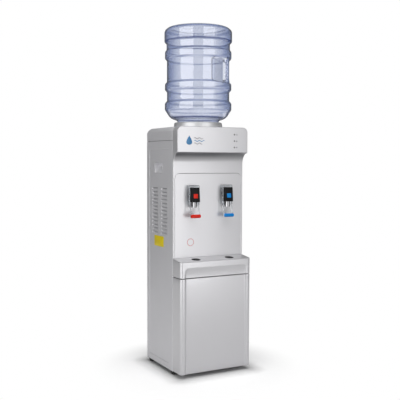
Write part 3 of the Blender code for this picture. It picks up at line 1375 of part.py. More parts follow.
def make_drain(pipe_look, cap_look):
    start = BOILER_SETBACK + BOILER_RADIUS + GAP
    end = REAR_FACE + SHEET + DRAIN_PROUD
    pipe = rod("drain_pipe", (BOILER_OFFSET, start, DRAIN_Z), (BOILER_OFFSET, end, DRAIN_Z), DRAIN_RADIUS)
    cut(pipe, rod("drain_bore", (BOILER_OFFSET, start - OVERRUN, DRAIN_Z),
                  (BOILER_OFFSET, end + OVERRUN, DRAIN_Z), DRAIN_BORE))
    finish(pipe, pipe_look)
    seat = REAR_FACE + SHEET + GAP
    cap = rod("drain_cap", (BOILER_OFFSET, seat, DRAIN_Z), (BOILER_OFFSET, seat + DRAIN_CAP_LENGTH, DRAIN_Z),
              DRAIN_CAP_RADIUS)
    cut(cap, rod("drain_cap_bore", (BOILER_OFFSET, seat - OVERRUN, DRAIN_Z),
                 (BOILER_OFFSET, end + GAP, DRAIN_Z), DRAIN_RADIUS + GAP))
    finish(cap, cap_look)
    carry("drain_cap_seat", (BOILER_OFFSET, seat, DRAIN_Z), [cap])


def make_materials():
    return {
        "silver": material("silver_plastic", (0.52, 0.52, 0.54), 0.38, 0.25),
        "side": material("painted_side", (0.34, 0.34, 0.37), 0.45, 0.1),
        "dark": material("dark_plastic", (0.03, 0.03, 0.035), 0.55),
        "black": material("black_plastic", (0.01, 0.01, 0.012), 0.3),
        "white": material("white_plastic", (0.72, 0.72, 0.70), 0.45),
        "chrome": material("chrome", (0.75, 0.75, 0.76), 0.12, 1.0),
        "steel": material("stainless_steel", (0.5, 0.5, 0.5), 0.3, 1.0),
        "zinc": material("zinc_sheet", (0.42, 0.43, 0.44), 0.45, 0.9),
        "aluminium": material("aluminium", (0.6, 0.6, 0.61), 0.35, 1.0),
        "foam": material("foam", (0.62, 0.60, 0.52), 0.9),
        "ceramic": material("ceramic", (0.8, 0.8, 0.78), 0.6),
        "clear": material("clear_plastic", (0.75, 0.80, 0.82), 0.08, 0.0, 0.4),
        "bottle": material("blue_polycarbonate", (0.16, 0.36, 0.62), 0.08, 0.0, 0.45),
        "silicone": material("silicone_hose", (0.6, 0.58, 0.55), 0.5),
        "hot": material("red_plastic", (0.55, 0.02, 0.02), 0.3),
        "cold": material("blue_plastic", (0.02, 0.08, 0.42), 0.3),
        "lens": material("lens", (0.16, 0.02, 0.02), 0.2),
        "rubber": material("rubber", (0.015, 0.015, 0.015), 0.8),
    }


def main():
    looks = make_materials()
    make_feet(looks["rubber"])
    make_base_pan(looks["zinc"])
    make_cabinet_box(looks["white"])
    make_component_deck(looks["zinc"])
    for side, label in ((-1, "left"), (1, "right")):
        make_side_panel(side, label, looks["side"])
        make_grip_cup(side, label, looks["silver"])
        make_strainer(side, label, looks["dark"])
    make_rear_panel(looks["dark"])
    make_top_cover(looks["silver"])
    make_front_shell(looks["silver"])
    make_lenses(looks["lens"])
    make_tray_housing(looks["silver"])
    make_drip_box(looks["dark"])
    door = make_door(looks["silver"])
    liner = make_door_liner(looks["white"])
    carry("door_hinge_axis", (HINGE_X, HINGE_Y, DOOR_BOTTOM), [door, liner])
    make_hinge_pins(looks["steel"])
    make_door_magnet(looks["dark"])
    make_collar(looks["silver"])
    make_receptacle(looks["white"])
    make_probe(looks["white"])
    make_bottle(looks["bottle"])
    make_taps(looks)
    make_cold_tank(looks["steel"])
    make_insulation(looks["foam"])
    make_cooler(looks["ceramic"], looks["aluminium"])
    make_fan(looks["black"], looks["black"])
    make_hot_tank(looks["steel"])
    make_heater(looks["zinc"])
    make_power_supply(looks["zinc"])
    make_pipes(looks["silicone"])
    make_drain(looks["steel"], looks["dark"])
    make_switches(looks["black"])
    make_gland(looks["rubber"])


main()
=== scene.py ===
import math

import bmesh
import bpy
import numpy as np
from mathutils import Matrix, Vector


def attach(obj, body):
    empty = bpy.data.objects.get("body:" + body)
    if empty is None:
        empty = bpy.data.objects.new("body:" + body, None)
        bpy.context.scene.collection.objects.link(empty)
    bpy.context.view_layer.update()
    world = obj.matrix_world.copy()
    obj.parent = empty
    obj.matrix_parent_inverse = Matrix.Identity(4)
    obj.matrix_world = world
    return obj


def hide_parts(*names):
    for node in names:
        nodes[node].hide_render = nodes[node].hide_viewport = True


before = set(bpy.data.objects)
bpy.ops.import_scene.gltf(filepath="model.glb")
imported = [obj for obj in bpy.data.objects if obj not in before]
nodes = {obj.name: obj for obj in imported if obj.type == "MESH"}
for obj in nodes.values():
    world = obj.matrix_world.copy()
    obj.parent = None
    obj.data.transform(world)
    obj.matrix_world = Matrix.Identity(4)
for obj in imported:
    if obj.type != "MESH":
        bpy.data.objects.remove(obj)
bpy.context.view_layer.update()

scene = bpy.context.scene
scene.view_settings.view_transform = "Standard"
print("frame loaded:", len(nodes), "nodes")


# lines and numbers along them

def fullTurn(steps):
    return np.linspace(0, 2 * math.pi, steps, endpoint=False)


def quarterTurn(steps):
    return np.linspace(0, 0.5 * math.pi, steps)


def joined(*parts):
    # coordinates of any shapes, spread to one grid and laid side by side on its last axis
    return np.stack(np.broadcast_arrays(*parts), -1)


def withHeight(plan, height):
    return joined(plan[..., 0], plan[..., 1], height)


def bothSides(left, middle):
    # the left half, the middle, and the left half again mirrored and walked backwards
    sign = np.ones(left.shape[1])
    sign[0] = -1
    return np.vstack([left, middle, left[::-1] * sign])


def arcLength(points):
    return np.r_[0, np.cumsum(np.linalg.norm(np.diff(points, axis=0), axis=1))]


def lineNormals(line):
    # unit vectors at a right angle to the line, to the right of its run
    run = np.gradient(line, axis=0)
    return joined(run[:, 1], -run[:, 0]) / np.linalg.norm(run, axis=1, keepdims=True)


def easedLine(points, reach, steps=6):
    # each inner corner becomes (1-t)^2 start + 2t(1-t) corner + t^2 end, start and end lying "reach" away from it
    points = np.asarray(points, float)
    corner = points[1:-1]
    ends = []
    for side in (points[:-2] - corner, points[2:] - corner):
        length = np.linalg.norm(side, axis=1, keepdims=True)
        near = np.minimum(np.reshape(reach, (-1, 1)), 0.49 * length)  # two curves never meet on one side
        ends.append((corner + side / length * near)[:, None])
    t = np.linspace(0, 1, steps)[None, :, None]
    curve = (1 - t) ** 2 * ends[0] + 2 * t * (1 - t) * corner[:, None] + t ** 2 * ends[1]
    return np.vstack([points[:1], curve.reshape(-1, points.shape[1]), points[-1:]])


def alongLine(points, spacing):
    # the line walked again in equal steps of arc length
    length = arcLength(points)
    places = np.linspace(0, length[-1], max(2, int(round(length[-1] / spacing)) + 1))
    return joined(*(np.interp(places, length, axis) for axis in points.T))


def crowded(low, high, centres, width, gain, count):
    # numbers that lie closer together near the centres: equal steps of the sum of 1 + gain * exp(-(d/width)^2)
    fine = np.linspace(low, high, 4001)
    weight = 1 + gain * np.exp(-((fine[:, None] - np.asarray(centres)) / width) ** 2).sum(1)
    total = np.r_[0, np.cumsum((weight[1:] + weight[:-1]) / 2)]
    return np.interp(np.linspace(0, total[-1], count), total, fine)


def withExact(values, exact, near):
    # both in order, without those values that lie nearer than "near" to an exact one
    exact = np.asarray(exact, float)
    apart = np.abs(values[:, None] - exact).min(1) > near
    return np.sort(np.r_[values[apart], exact])


def smoothStep(low, high, value):
    t = np.clip((value - low) / (high - low), 0, 1)
    return t * t * (3 - 2 * t)


def roundOver(radius, steps=6):
    # (inset, drop) along a quarter circle from the flat top to the upright side
    turn = quarterTurn(steps)
    return radius * (1 - np.sin(turn)), radius * (1 - np.cos(turn))


def roundedDistance(across, up, box, corner):
    # distance from the rounded rectangle box = (left, right, low, high), below 0 inside it
    left, right, low, high = box
    dx = np.abs(across - (left + right) / 2) - ((right - left) / 2 - corner)
    dz = np.abs(up - (low + high) / 2) - ((high - low) / 2 - corner)
    return np.hypot(np.maximum(dx, 0), np.maximum(dz, 0)) + np.minimum(np.maximum(dx, dz), 0) - corner


def sunkField(distance, depth, ease, groove, grooveHalf):
    # a step eased over +-ease at the field's edge, with a fine groove exp(-(d/grooveHalf)^2) along it
    return depth * (1 - smoothStep(-ease, ease, distance)) + groove * np.exp(-(distance / grooveHalf) ** 2)


# meshes

def smoothShading(mesh, angle=40):
    mesh.shade_smooth()
    mesh.set_sharp_from_angle(angle=math.radians(angle))


def gridMesh(name, points, material, body=None, wrap=False, wrapRows=False, angle=40, merge=1e-6, outward=True):
    # points[row, column] joined into quads; collapsed rows are merged into poles and the normals turned outwards
    rows, columns = points.shape[:2]
    row, column = np.meshgrid(np.arange(rows - (not wrapRows)), np.arange(columns - (not wrap)), indexing="ij")
    here, after, beside = row * columns, (row + 1) % rows * columns, (column + 1) % columns
    quads = np.stack([here + column, here + beside, after + beside, after + column], -1).reshape(-1, 4)
    mesh = bpy.data.meshes.new(name)
    mesh.from_pydata(points.reshape(-1, 3).tolist(), [], quads.tolist())
    mesh.validate()
    work = bmesh.new()
    work.from_mesh(mesh)
    bmesh.ops.remove_doubles(work, verts=work.verts, dist=merge)
    bmesh.ops.dissolve_degenerate(work, edges=work.edges, dist=merge / 2)
    if outward:
        bmesh.ops.recalc_face_normals(work, faces=work.faces)
    work.to_mesh(mesh)
    work.free()
    smoothShading(mesh, angle)
    piece = bpy.data.objects.new(name, mesh)
    scene.collection.objects.link(piece)
    mesh.materials.append(material)
    if body:
        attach(piece, body)
    return piece


def readArray(items, key, width=3):
    values = np.empty(len(items) * width)
    items.foreach_get(key, values)
    return values.reshape(-1, width)


def fixModifiers(piece):
    # what the modifiers make becomes the piece's own mesh
    bpy.context.view_layer.update()
    mesh = bpy.data.meshes.new_from_object(piece.evaluated_get(bpy.context.evaluated_depsgraph_get()))
    piece.modifiers.clear()
    old, piece.data = piece.data, mesh
    bpy.data.meshes.remove(old)
    smoothShading(mesh)


def solidWall(piece, inside, thickness, held=True):
    # turns the skin away from the inside point and gives it its wall inwards; "held" keeps it in the skin's own box
    mesh = piece.data
    away = (readArray(mesh.polygons, "center") - inside) * readArray(mesh.polygons, "normal")
    if (away * readArray(mesh.polygons, "area", 1)).sum() < 0:
        mesh.flip_normals()
    skin = readArray(mesh.vertices, "co")
    wall = piece.modifiers.new("wall", "SOLIDIFY")
    wall.thickness, wall.offset, wall.use_even_offset = thickness, -1.0, False
    fixModifiers(piece)
    if held:
        points = np.clip(readArray(piece.data.vertices, "co"), skin.min(0), skin.max(0))
        piece.data.vertices.foreach_set("co", points.ravel())
        piece.data.update()


def drill(piece, centre, radius, reach, axis=2):
    # takes a round hole, "reach" long each way along one axis, out of a closed piece
    t = fullTurn(96)
    size = np.array([0, radius, radius, 0])[:, None]
    along = np.array([-reach, -reach, reach, reach])[:, None]
    rows = np.roll(joined(along, size * np.cos(t), size * np.sin(t)), axis, -1) + centre
    tool = gridMesh("holeTool", rows, piece.data.materials[0], wrap=True)
    cut = piece.modifiers.new("hole", "BOOLEAN")
    cut.operation, cut.object, cut.solver = "DIFFERENCE", tool, "EXACT"
    fixModifiers(piece)
    bpy.data.objects.remove(tool)


def dropFaces(piece, chosen):
    # removes the faces whose centre is chosen
    picked = np.flatnonzero(chosen(*readArray(piece.data.polygons, "center").T))
    work = bmesh.new()
    work.from_mesh(piece.data)
    work.faces.ensure_lookup_table()
    bmesh.ops.delete(work, geom=[work.faces[index] for index in picked], context="FACES")
    work.to_mesh(piece.data)
    work.free()


# shader nodes

def setSocket(tree, socket, value):
    # another node's output is linked, a value is written on the socket
    if isinstance(value, bpy.types.NodeSocket):
        tree.links.new(value, socket)
    else:
        socket.default_value = (*value[:3], 1) if socket.type == "RGBA" else value


def addNode(tree, kind, inputs=None, **settings):
    node = tree.nodes.new("ShaderNode" + kind)
    for key, value in settings.items():
        setattr(node, key, value)
    for key, value in (inputs or {}).items():
        setSocket(tree, node.inputs[key], value)
    return node


def mathOf(tree, operation, *values):
    return addNode(tree, "Math", dict(enumerate(values)), operation=operation).outputs[0]


def product(tree, result, *others):
    for other in others:
        result = mathOf(tree, "MULTIPLY", result, other)
    return result


def vectorOf(tree, operation, *values):
    node = addNode(tree, "VectorMath", dict(enumerate(values)), operation=operation)
    return node.outputs["Value" if operation in ("LENGTH", "DOT_PRODUCT") else "Vector"]


def ranged(tree, value, low, high, toLow=0.0, toHigh=1.0, kind="LINEAR"):
    inputs = {"Value": value, "From Min": low, "From Max": high, "To Min": toLow, "To Max": toHigh}
    return addNode(tree, "MapRange", inputs, interpolation_type=kind).outputs[0]


def mixColour(tree, factor, first, second):
    return addNode(tree, "Mix", {"Factor": factor, 6: first, 7: second}, data_type="RGBA").outputs[2]


def noiseOf(tree, place, scale, detail, roughness=0.5):
    inputs = {"Vector": place, "Scale": scale, "Detail": detail, "Roughness": roughness}
    return addNode(tree, "TexNoise", inputs).outputs["Fac"]


def openGroup(name, inputs):
    # a new group, its input sockets and the place in the piece's own coordinates
    group = bpy.data.node_groups.new(name, "ShaderNodeTree")
    for label, value in inputs.items():
        kind = "NodeSocketVector" if isinstance(value, tuple) else "NodeSocketFloat"
        group.interface.new_socket(label, in_out="INPUT", socket_type=kind).default_value = value
    return group, group.nodes.new("NodeGroupInput").outputs, addNode(group, "TexCoord").outputs["Object"]


def closeGroup(group, outputs):
    for label in outputs:
        group.interface.new_socket(label, in_out="OUTPUT", socket_type="NodeSocketFloat")
    out = group.nodes.new("NodeGroupOutput")
    for label, socket in outputs.items():
        group.links.new(socket, out.inputs[label])
    return group


# shared shader groups

def makeMouldedGrain():
    # two sizes of bumps as a height, and a slow cloud that shifts colour and roughness
    group, given, place = openGroup("moulded grain", {"Scale": 900.0, "Cloud Scale": 9.0})
    fine = noiseOf(group, place, given["Scale"], 2.0)
    cell = addNode(group, "TexVoronoi", {"Vector": place, "Scale": given["Scale"]}, feature="SMOOTH_F1")
    both = addNode(group, "Mix", {"Factor": 0.4, "A": fine, "B": cell.outputs["Distance"]})
    cloud = noiseOf(group, place, given["Cloud Scale"], 4.0, 0.55)
    return closeGroup(group, {"Height": both.outputs[0], "Cloud": cloud})


def makeRubbedEdge():
    # where a softened normal leaves the real one the surface bends sharply; noise breaks that up into handled edges
    group, given, place = openGroup("rubbed edge", {"Radius": 0.0012, "Amount": 0.5})
    soft = addNode(group, "Bevel", {"Radius": given["Radius"]}, samples=4)
    real = addNode(group, "NewGeometry")
    bend = ranged(group, vectorOf(group, "DOT_PRODUCT", soft.outputs["Normal"], real.outputs["Normal"]), 0.995, 0.86)
    patch = ranged(group, noiseOf(group, place, 70.0, 5.0, 0.7), 0.42, 0.66)
    return closeGroup(group, {"Mask": product(group, bend, patch, given["Amount"])})


def makeRestingDust():
    # upward faces times a patchy noise
    group, given, place = openGroup("resting dust", {"Amount": 0.2})
    up = addNode(group, "SeparateXYZ", {0: addNode(group, "NewGeometry").outputs["Normal"]})
    level = ranged(group, up.outputs["Z"], 0.55, 1.0)
    patch = ranged(group, noiseOf(group, place, 24.0, 6.0, 0.65), 0.35, 0.75)
    return closeGroup(group, {"Mask": product(group, level, patch, given["Amount"])})


def makeDrawnLines():
    # noise pulled long in one direction, for sheet, fins and polished tube
    group, given, place = openGroup("drawn lines", {"Stretch": (20.0, 20.0, 900.0)})
    lines = noiseOf(group, vectorOf(group, "MULTIPLY", place, given["Stretch"]), 1.0, 3.0)
    return closeGroup(group, {"Height": lines, "Shade": ranged(group, lines, 0.3, 0.7)})


def makePaintedStepShade():
    # painted shade at the moulded wall's steps, standing in for the dark surroundings refracted there: "Mask" rises
    # with the tilt of the normal, "Band" is 1 at two heights for two more painted dark lines
    # "Upright" is low on the flat dish and in the grip's pocket, where the painted edge shade is held off so that they
    # stay pale when seen nearly edge on
    group, given, place = openGroup("painted step shade", {"Amount": 0.7, "From": 1.02, "Low Band": 1.0, "High Band": 1.3})
    place = addNode(group, "SeparateXYZ", {0: place}).outputs
    tilt = addNode(group, "SeparateXYZ", {0: addNode(group, "TexCoord").outputs["Normal"]}).outputs["Z"]
    above = ranged(group, mathOf(group, "SUBTRACT", place["Z"], given["From"]), 0.0, 0.003)
    offs = [mathOf(group, "ABSOLUTE", mathOf(group, "SUBTRACT", place["Z"], given[key]))
            for key in ("Low Band", "High Band")]
    band = ranged(group, mathOf(group, "MINIMUM", *offs), 0.0020, 0.0042, 1.0, 0.0)
    size = mathOf(group, "ABSOLUTE", tilt)
    rise = ranged(group, size, 0.28, 0.62, kind="SMOOTHSTEP")
    fall = ranged(group, size, 0.80, 0.96, 1.0, 0.0)
    flat = addNode(group, "CombineXYZ", {"X": place["X"], "Y": place["Y"]}).outputs[0]
    wall = ranged(group, vectorOf(group, "LENGTH", flat), 0.106, 0.1215, 0.30, 1.0)
    kept = mathOf(group, "MAXIMUM", wall, mathOf(group, "SUBTRACT", 1.0, above))
    return closeGroup(group, {"Mask": product(group, rise, fall, above, given["Amount"]), "Above": above,
                              "Band": band, "Upright": product(group, fall, kept)})


mouldedGrain = makeMouldedGrain()
paintedStepShade = makePaintedStepShade()
rubbedEdge = makeRubbedEdge()
restingDust = makeRestingDust()
drawnLines = makeDrawnLines()
print("shader groups ready")


# materials

plainSolid = dict(grain=900.0, cloud=9.0, spread=0.08, relief=0.15, depth=0.0002, wear=0.0, dust=0.0, metallic=0.0,
                  coat=0.0, coatRoughness=0.2, specular=0.5)
plainClear = dict(grain=120.0, cloud=14.0, rimTo=0.97, relief=0.05, depth=0.0004, coat=0.0, ior=1.45, specular=0.5,
                  transmission=1.0)
shaderSockets = dict(metallic="Metallic", coat="Coat Weight", coatRoughness="Coat Roughness", ior="IOR",
                     specular="Specular IOR Level", transmission="Transmission Weight")
dustColour = (0.55, 0.54, 0.52)


def shaded(colour, share):
    return tuple(min(1, share * level) for level in colour)


def startMaterial(name):
    material = bpy.data.materials.new(name)
    material.use_nodes = True
    return material, material.node_tree, material.node_tree.nodes["Principled BSDF"]


def useGroup(tree, group, values):
    return addNode(tree, "Group", values, node_tree=group).outputs


def finishShader(tree, shader, look, colour, cloud, height):
    # the colour, a roughness that follows the cloud, the fine relief, and the constants on the shader's own sockets
    rough = ranged(tree, cloud, 0.3, 0.7, look["roughness"] - look["spread"], look["roughness"] + look["spread"])
    bump = addNode(tree, "Bump", {"Strength": look["relief"], "Distance": look["depth"], "Height": height}).outputs[0]
    for key, value in (("Base Color", colour), ("Roughness", rough), ("Normal", bump)):
        setSocket(tree, shader.inputs[key], value)
    for key, label in shaderSockets.items():
        if key in look:
            shader.inputs[label].default_value = look[key]


def solidMaterial(name, look):
    # colour clouded between two shades, worn along edges, dusted on top, with a fine relief
    look = {**plainSolid, **look}
    base = look["colour"]
    material, tree, shader = startMaterial(name)
    grain = useGroup(tree, mouldedGrain, {"Scale": look["grain"], "Cloud Scale": look["cloud"]})
    colour, height = mixColour(tree, grain["Cloud"], base, look["second"]), grain["Height"]
    if "stretch" in look:
        lines = useGroup(tree, drawnLines, {"Stretch": look["stretch"]})
        colour = mixColour(tree, product(tree, lines["Shade"], 0.25), colour, shaded(base, 0.72))
        height = lines["Height"]
    if look["wear"]:
        wear = useGroup(tree, rubbedEdge, {"Amount": look["wear"]})
        colour = mixColour(tree, wear["Mask"], colour, look.get("wearColour", shaded(base, 1.35)))
    if look["dust"]:
        dust = useGroup(tree, restingDust, {"Amount": look["dust"]})
        colour = mixColour(tree, dust["Mask"], colour, dustColour)
    if "underside" in look:
        # painted shade: faces that look down are mixed towards a dark colour, standing in for the shade of the form
        # above them
        tilt = addNode(tree, "SeparateXYZ", {0: addNode(tree, "TexCoord").outputs["Normal"]}).outputs["Z"]
        colour = mixColour(tree, ranged(tree, tilt, -0.12, -0.85, kind="SMOOTHSTEP"), colour, look["underside"])
    if "rim" in look:
        # painted reflection: the metal's colour darkens where it is seen edge on, standing in for the dark
        # surroundings it would reflect there
        edge = addNode(tree, "LayerWeight", {"Blend": 0.5}).outputs["Facing"]
        colour = mixColour(tree, ranged(tree, edge, 0.08, 0.30), colour, look["rim"])
    finishShader(tree, shader, look, colour, grain["Cloud"], height)
    return material


def clearMaterial(name, look):
    # see-through plastic: tint shifts slowly over the piece; painted shade darkens it where it is seen edge on, first
    # to the flank colour and then to the rim colour, standing in for dark surroundings reflected and refracted there
    look = {**plainClear, "spread": 0.4 * look["roughness"], **look}
    material, tree, shader = startMaterial(name)
    grain = useGroup(tree, mouldedGrain, {"Scale": look["grain"], "Cloud Scale": look["cloud"]})
    edge = addNode(tree, "LayerWeight", {"Blend": 0.5}).outputs["Facing"]
    tint = mixColour(tree, grain["Cloud"], look["colour"], look["second"])
    # flank and rim: painted shade towards the edges seen edge on
    flank = ranged(tree, edge, look["flankFrom"], look["flankTo"], kind="SMOOTHSTEP")
    rim = ranged(tree, edge, look["flankTo"], look["rimTo"], kind="SMOOTHSTEP")
    overlays = []
    # painted shade: dark lines at the steps and at two heights, faded where the bottle faces the camera
    if "stepShadeColour" in look:
        steps = useGroup(tree, paintedStepShade, {"Amount": look["stepAmount"], "From": look["stepFrom"],
                                           "Low Band": look["lowBand"], "High Band": look["highBand"]})
        dome = ranged(tree, steps["Above"], 0.0, 1.0, look["domeShare"])
        flank, rim = product(tree, flank, dome, steps["Upright"]), product(tree, rim, steps["Upright"])
        fade = ranged(tree, edge, 0.04, 0.30, look["stepMiddle"])
        overlays = [(product(tree, steps["Mask"], fade), look["stepShadeColour"]),
                    (product(tree, steps["Band"], look["bandAmount"]), look["bandShadeColour"])]
    for share, colour in [(flank, look["flank"]), (rim, look["rim"])] + overlays:
        tint = mixColour(tree, share, tint, colour)
    finishShader(tree, shader, look, tint, grain["Cloud"], grain["Height"])
    return material


finishes = {
    "silverPlastic": dict(colour=(0.63, 0.625, 0.645), second=(0.61, 0.605, 0.625), roughness=0.30, spread=0.02,
                          metallic=0.30, grain=2600.0, relief=0.012, coat=0.35, coatRoughness=0.16, wear=0.25,
                          dust=0.04),
    "satinRing": dict(colour=(0.70, 0.70, 0.71), second=(0.66, 0.66, 0.67), roughness=0.40, spread=0.03,
                      metallic=0.25, grain=2600.0, relief=0.012, coat=0.25, coatRoughness=0.28, wear=0.2, dust=0.05),
    # the side sheet's paint, set lighter than the silver to make up for the weaker light on the sides: partly its own
    # colour, partly painted light; the grip cups and the top cover wear it too
    "lightenedSidePaint": dict(colour=(0.745, 0.74, 0.765), second=(0.715, 0.71, 0.735), roughness=0.42, spread=0.04,
                        metallic=0.2, grain=1500.0, relief=0.05, wear=0.3, dust=0.05),
    "darkPlastic": dict(colour=(0.030, 0.030, 0.034), second=(0.042, 0.042, 0.046), roughness=0.5, grain=1400.0,
                        relief=0.25, wear=0.4, wearColour=(0.10, 0.10, 0.11), dust=0.12),
    "blackPlastic": dict(colour=(0.006, 0.006, 0.007), second=(0.010, 0.010, 0.012), roughness=0.32, spread=0.05,
                         grain=1800.0, specular=0.08, relief=0.08, wear=0.35, wearColour=(0.04, 0.04, 0.045)),
    "whitePlastic": dict(colour=(0.72, 0.72, 0.70), second=(0.68, 0.68, 0.66), roughness=0.42, grain=1300.0,
                         relief=0.12, wear=0.2, dust=0.08),
    # rim: painted reflection, the dark colour that the chrome takes where it is seen edge on
    "chrome": dict(colour=(0.40, 0.40, 0.41), second=(0.36, 0.36, 0.37), rim=(0.02, 0.02, 0.025), roughness=0.07,
                   spread=0.02, metallic=1.0, grain=700.0, relief=0.02),
    "stainlessSteel": dict(colour=(0.55, 0.55, 0.54), second=(0.48, 0.48, 0.48), roughness=0.30, metallic=1.0,
                           stretch=(18.0, 18.0, 900.0), relief=0.12, depth=0.0001),
    "zincSheet": dict(colour=(0.47, 0.48, 0.49), second=(0.33, 0.34, 0.36), roughness=0.42, metallic=0.9, cloud=38.0,
                      grain=420.0, relief=0.1, dust=0.1),
    "aluminiumFins": dict(colour=(0.62, 0.62, 0.63), second=(0.56, 0.56, 0.57), roughness=0.36, metallic=1.0,
                          stretch=(900.0, 900.0, 14.0), relief=0.2, depth=0.0001),
    "foamShell": dict(colour=(0.64, 0.61, 0.50), second=(0.56, 0.52, 0.40), roughness=0.92, spread=0.04, grain=420.0,
                      relief=0.9, depth=0.0008, dust=0.1),
    "ceramicPlate": dict(colour=(0.80, 0.80, 0.77), second=(0.74, 0.74, 0.71), roughness=0.62, relief=0.2),
    "siliconeHose": dict(colour=(0.62, 0.60, 0.56), second=(0.56, 0.54, 0.50), roughness=0.48, grain=260.0,
                         relief=0.08),
    "redPlastic": dict(colour=(0.82, 0.022, 0.006), second=(0.74, 0.016, 0.005), specular=0.12, roughness=0.34,
                       spread=0.04, grain=1400.0, relief=0.06, wear=0.3, wearColour=(0.80, 0.12, 0.10)),
    "bluePlastic": dict(colour=(0.006, 0.27, 0.74), second=(0.005, 0.23, 0.66), specular=0.12, roughness=0.34,
                        spread=0.04, grain=1400.0, relief=0.06, wear=0.3, wearColour=(0.10, 0.30, 0.68)),
    "lensPlastic": dict(colour=(0.085, 0.070, 0.085), second=(0.065, 0.055, 0.070), roughness=0.16, spread=0.04,
                        grain=600.0, relief=0.04, coat=0.6, coatRoughness=0.08),
    "signBlue": dict(colour=(0.030, 0.21, 0.45), second=(0.025, 0.17, 0.38), roughness=0.38, grain=1500.0,
                     relief=0.05),
    "signGrey": dict(colour=(0.22, 0.22, 0.24), second=(0.18, 0.18, 0.20), roughness=0.42, grain=1500.0, relief=0.05),
    "signRed": dict(colour=(0.62, 0.09, 0.08), second=(0.54, 0.07, 0.06), roughness=0.42, grain=1500.0, relief=0.05),
    "signYellow": dict(colour=(1.0, 0.79, 0.004), second=(0.94, 0.72, 0.003), roughness=0.36, grain=1100.0,
                       relief=0.08, wear=0.2),
    "rubberFoot": dict(colour=(0.016, 0.016, 0.017), second=(0.028, 0.028, 0.028), roughness=0.8, relief=0.4,
                       dust=0.2),
}
# the front shell's silver, with painted shade on the faces that look down under the head
finishes["shellSilver"] = dict(finishes["silverPlastic"], underside=(0.16, 0.16, 0.17))
clears = {
    # flank and rim are painted shade colours for the edges seen edge on
    "clearPlastic": dict(colour=(0.93, 0.95, 0.96), second=(0.90, 0.92, 0.94), flank=(0.78, 0.80, 0.83),
                         rim=(0.40, 0.43, 0.48), flankFrom=0.40, flankTo=0.75, roughness=0.04, ior=1.30),
    "blueBottle": dict(colour=(0.775, 0.800, 0.880), second=(0.750, 0.780, 0.865), flank=(0.33, 0.39, 0.57),
                       rim=(0.03, 0.05, 0.14), rimTo=0.86, flankFrom=0.09, flankTo=0.56, roughness=0.03, relief=0.03,
                       # the step and band colours paint dark lines of shade at the bottle's steps and corners
                       specular=1.0, coat=1.0, stepShadeColour=(0.14, 0.20, 0.40), stepAmount=0.55, stepFrom=1.0262,
                       stepMiddle=0.35, lowBand=1.0032, highBand=1.3036, bandShadeColour=(0.05, 0.09, 0.26),
                       bandAmount=0.85, domeShare=0.15),
}
made = {name: solidMaterial(name, look) for name, look in finishes.items()}
made.update({name: clearMaterial(name, look) for name, look in clears.items()})
print("materials ready:", len(made))

wornBy = {
    "silverPlastic": "front_shell tray_housing door top_cover collar_ring grip_cup_left grip_cup_right",
    "lightenedSidePaint": "left_side_panel right_side_panel",
    "darkPlastic": "rear_panel strainer_left strainer_right drip_box door_magnet drain_cap",
    "blackPlastic": "fan_frame fan_rotor hot_tap_cap cold_tap_cap hot_switch cold_switch",
    "whitePlastic": "cabinet_box door_liner bottle_receptacle bottle_probe",
    "chrome": "hot_tap_body cold_tap_body",
    "stainlessSteel": "cold_tank hot_tank hinge_pin_lower hinge_pin_upper drain_pipe",
    "zincSheet": "base_pan component_deck heater_band power_supply",
    "aluminiumFins": "heat_sink",
    "foamShell": "cold_tank_insulation",
    "ceramicPlate": "thermoelectric_module",
    "siliconeHose": "cold_water_pipe hot_water_pipe hot_feed_pipe",
    "redPlastic": "hot_tap_marker hot_paddle",
    "bluePlastic": "cold_tap_marker cold_paddle",
    "lensPlastic": "lens_power lens_heating lens_cooling",
    "rubberFoot": "foot_front_left foot_front_right foot_rear_left foot_rear_right power_gland",
    "clearPlastic": "hot_tap_housing cold_tap_housing hot_lever cold_lever",
    "blueBottle": "bottle",
}
for finish, names in wornBy.items():
    for name in names.split():
        for slot in nodes[name].material_slots:
            slot.material = made[finish]
print("nodes dressed")


# bottle

bottle = dict(
    radius=0.1348, height=0.375, shoulder=0.9837, wall=0.0016, corner=0.0030, spacing=0.0029,
    columns=(0.09, 2.2, 201),
    coneTop=0.080, coneLow=0.032, neck=0.0275, neckLength=0.031,
    # shares of radius and height from the upturned base's dish down to the shoulder
    shares=((0.0, 0.979), (0.40, 0.981), (0.62, 0.989), (0.76, 0.9985), (0.831, 1.0), (0.9, 0.996), (0.95, 0.983),
            (0.984, 0.970), (1.0, 0.955), (1.0, 0.856), (0.938, 0.834), (0.938, 0.769), (0.985, 0.747), (0.985, 0.681),
            (0.927, 0.657), (0.927, 0.431), (0.985, 0.409), (0.985, 0.349), (0.924, 0.325), (0.924, 0.231),
            (0.989, 0.205), (0.989, 0.137), (0.940, 0.113), (0.904, 0.090), (0.864, 0.069), (0.797, 0.047),
            (0.712, 0.033), (0.649, 0.028), (0.608, 0.012)),
    handleAngle=math.radians(-52.3), handleHalf=0.080, handleFloor=0.090, handleLow=0.156, handleHigh=0.250,
    handleCorner=0.014, handleSlope=(-0.005, 0.00075), handleShare=0.927,
    gripHalf=0.0125, gripOut=0.1198, gripDeep=0.0116, gripLap=0.0012, gripPower=0.62, swell=0.35, swellReach=0.10,
    swellDeep=0.3,
)


def bottleProfile(b):
    shares = np.array(b["shares"]) * (b["radius"], b["height"]) + (0, b["shoulder"])
    low = b["shoulder"] - (b["coneTop"] - b["coneLow"])
    mouth = [(b["coneTop"], b["shoulder"]), (b["coneLow"], low), (b["neck"], low - (b["coneLow"] - b["neck"])),
             (b["neck"], low - b["neckLength"])]
    return alongLine(easedLine(np.vstack([shares, mouth]), b["corner"], 8), b["spacing"])


def aroundBottle(outward, across, height, b):
    # places measured from the middle of the grip, turned to its side of the bottle
    ca, sa = math.cos(b["handleAngle"]), math.sin(b["handleAngle"])
    return joined(outward * ca - across * sa, outward * sa + across * ca, height)


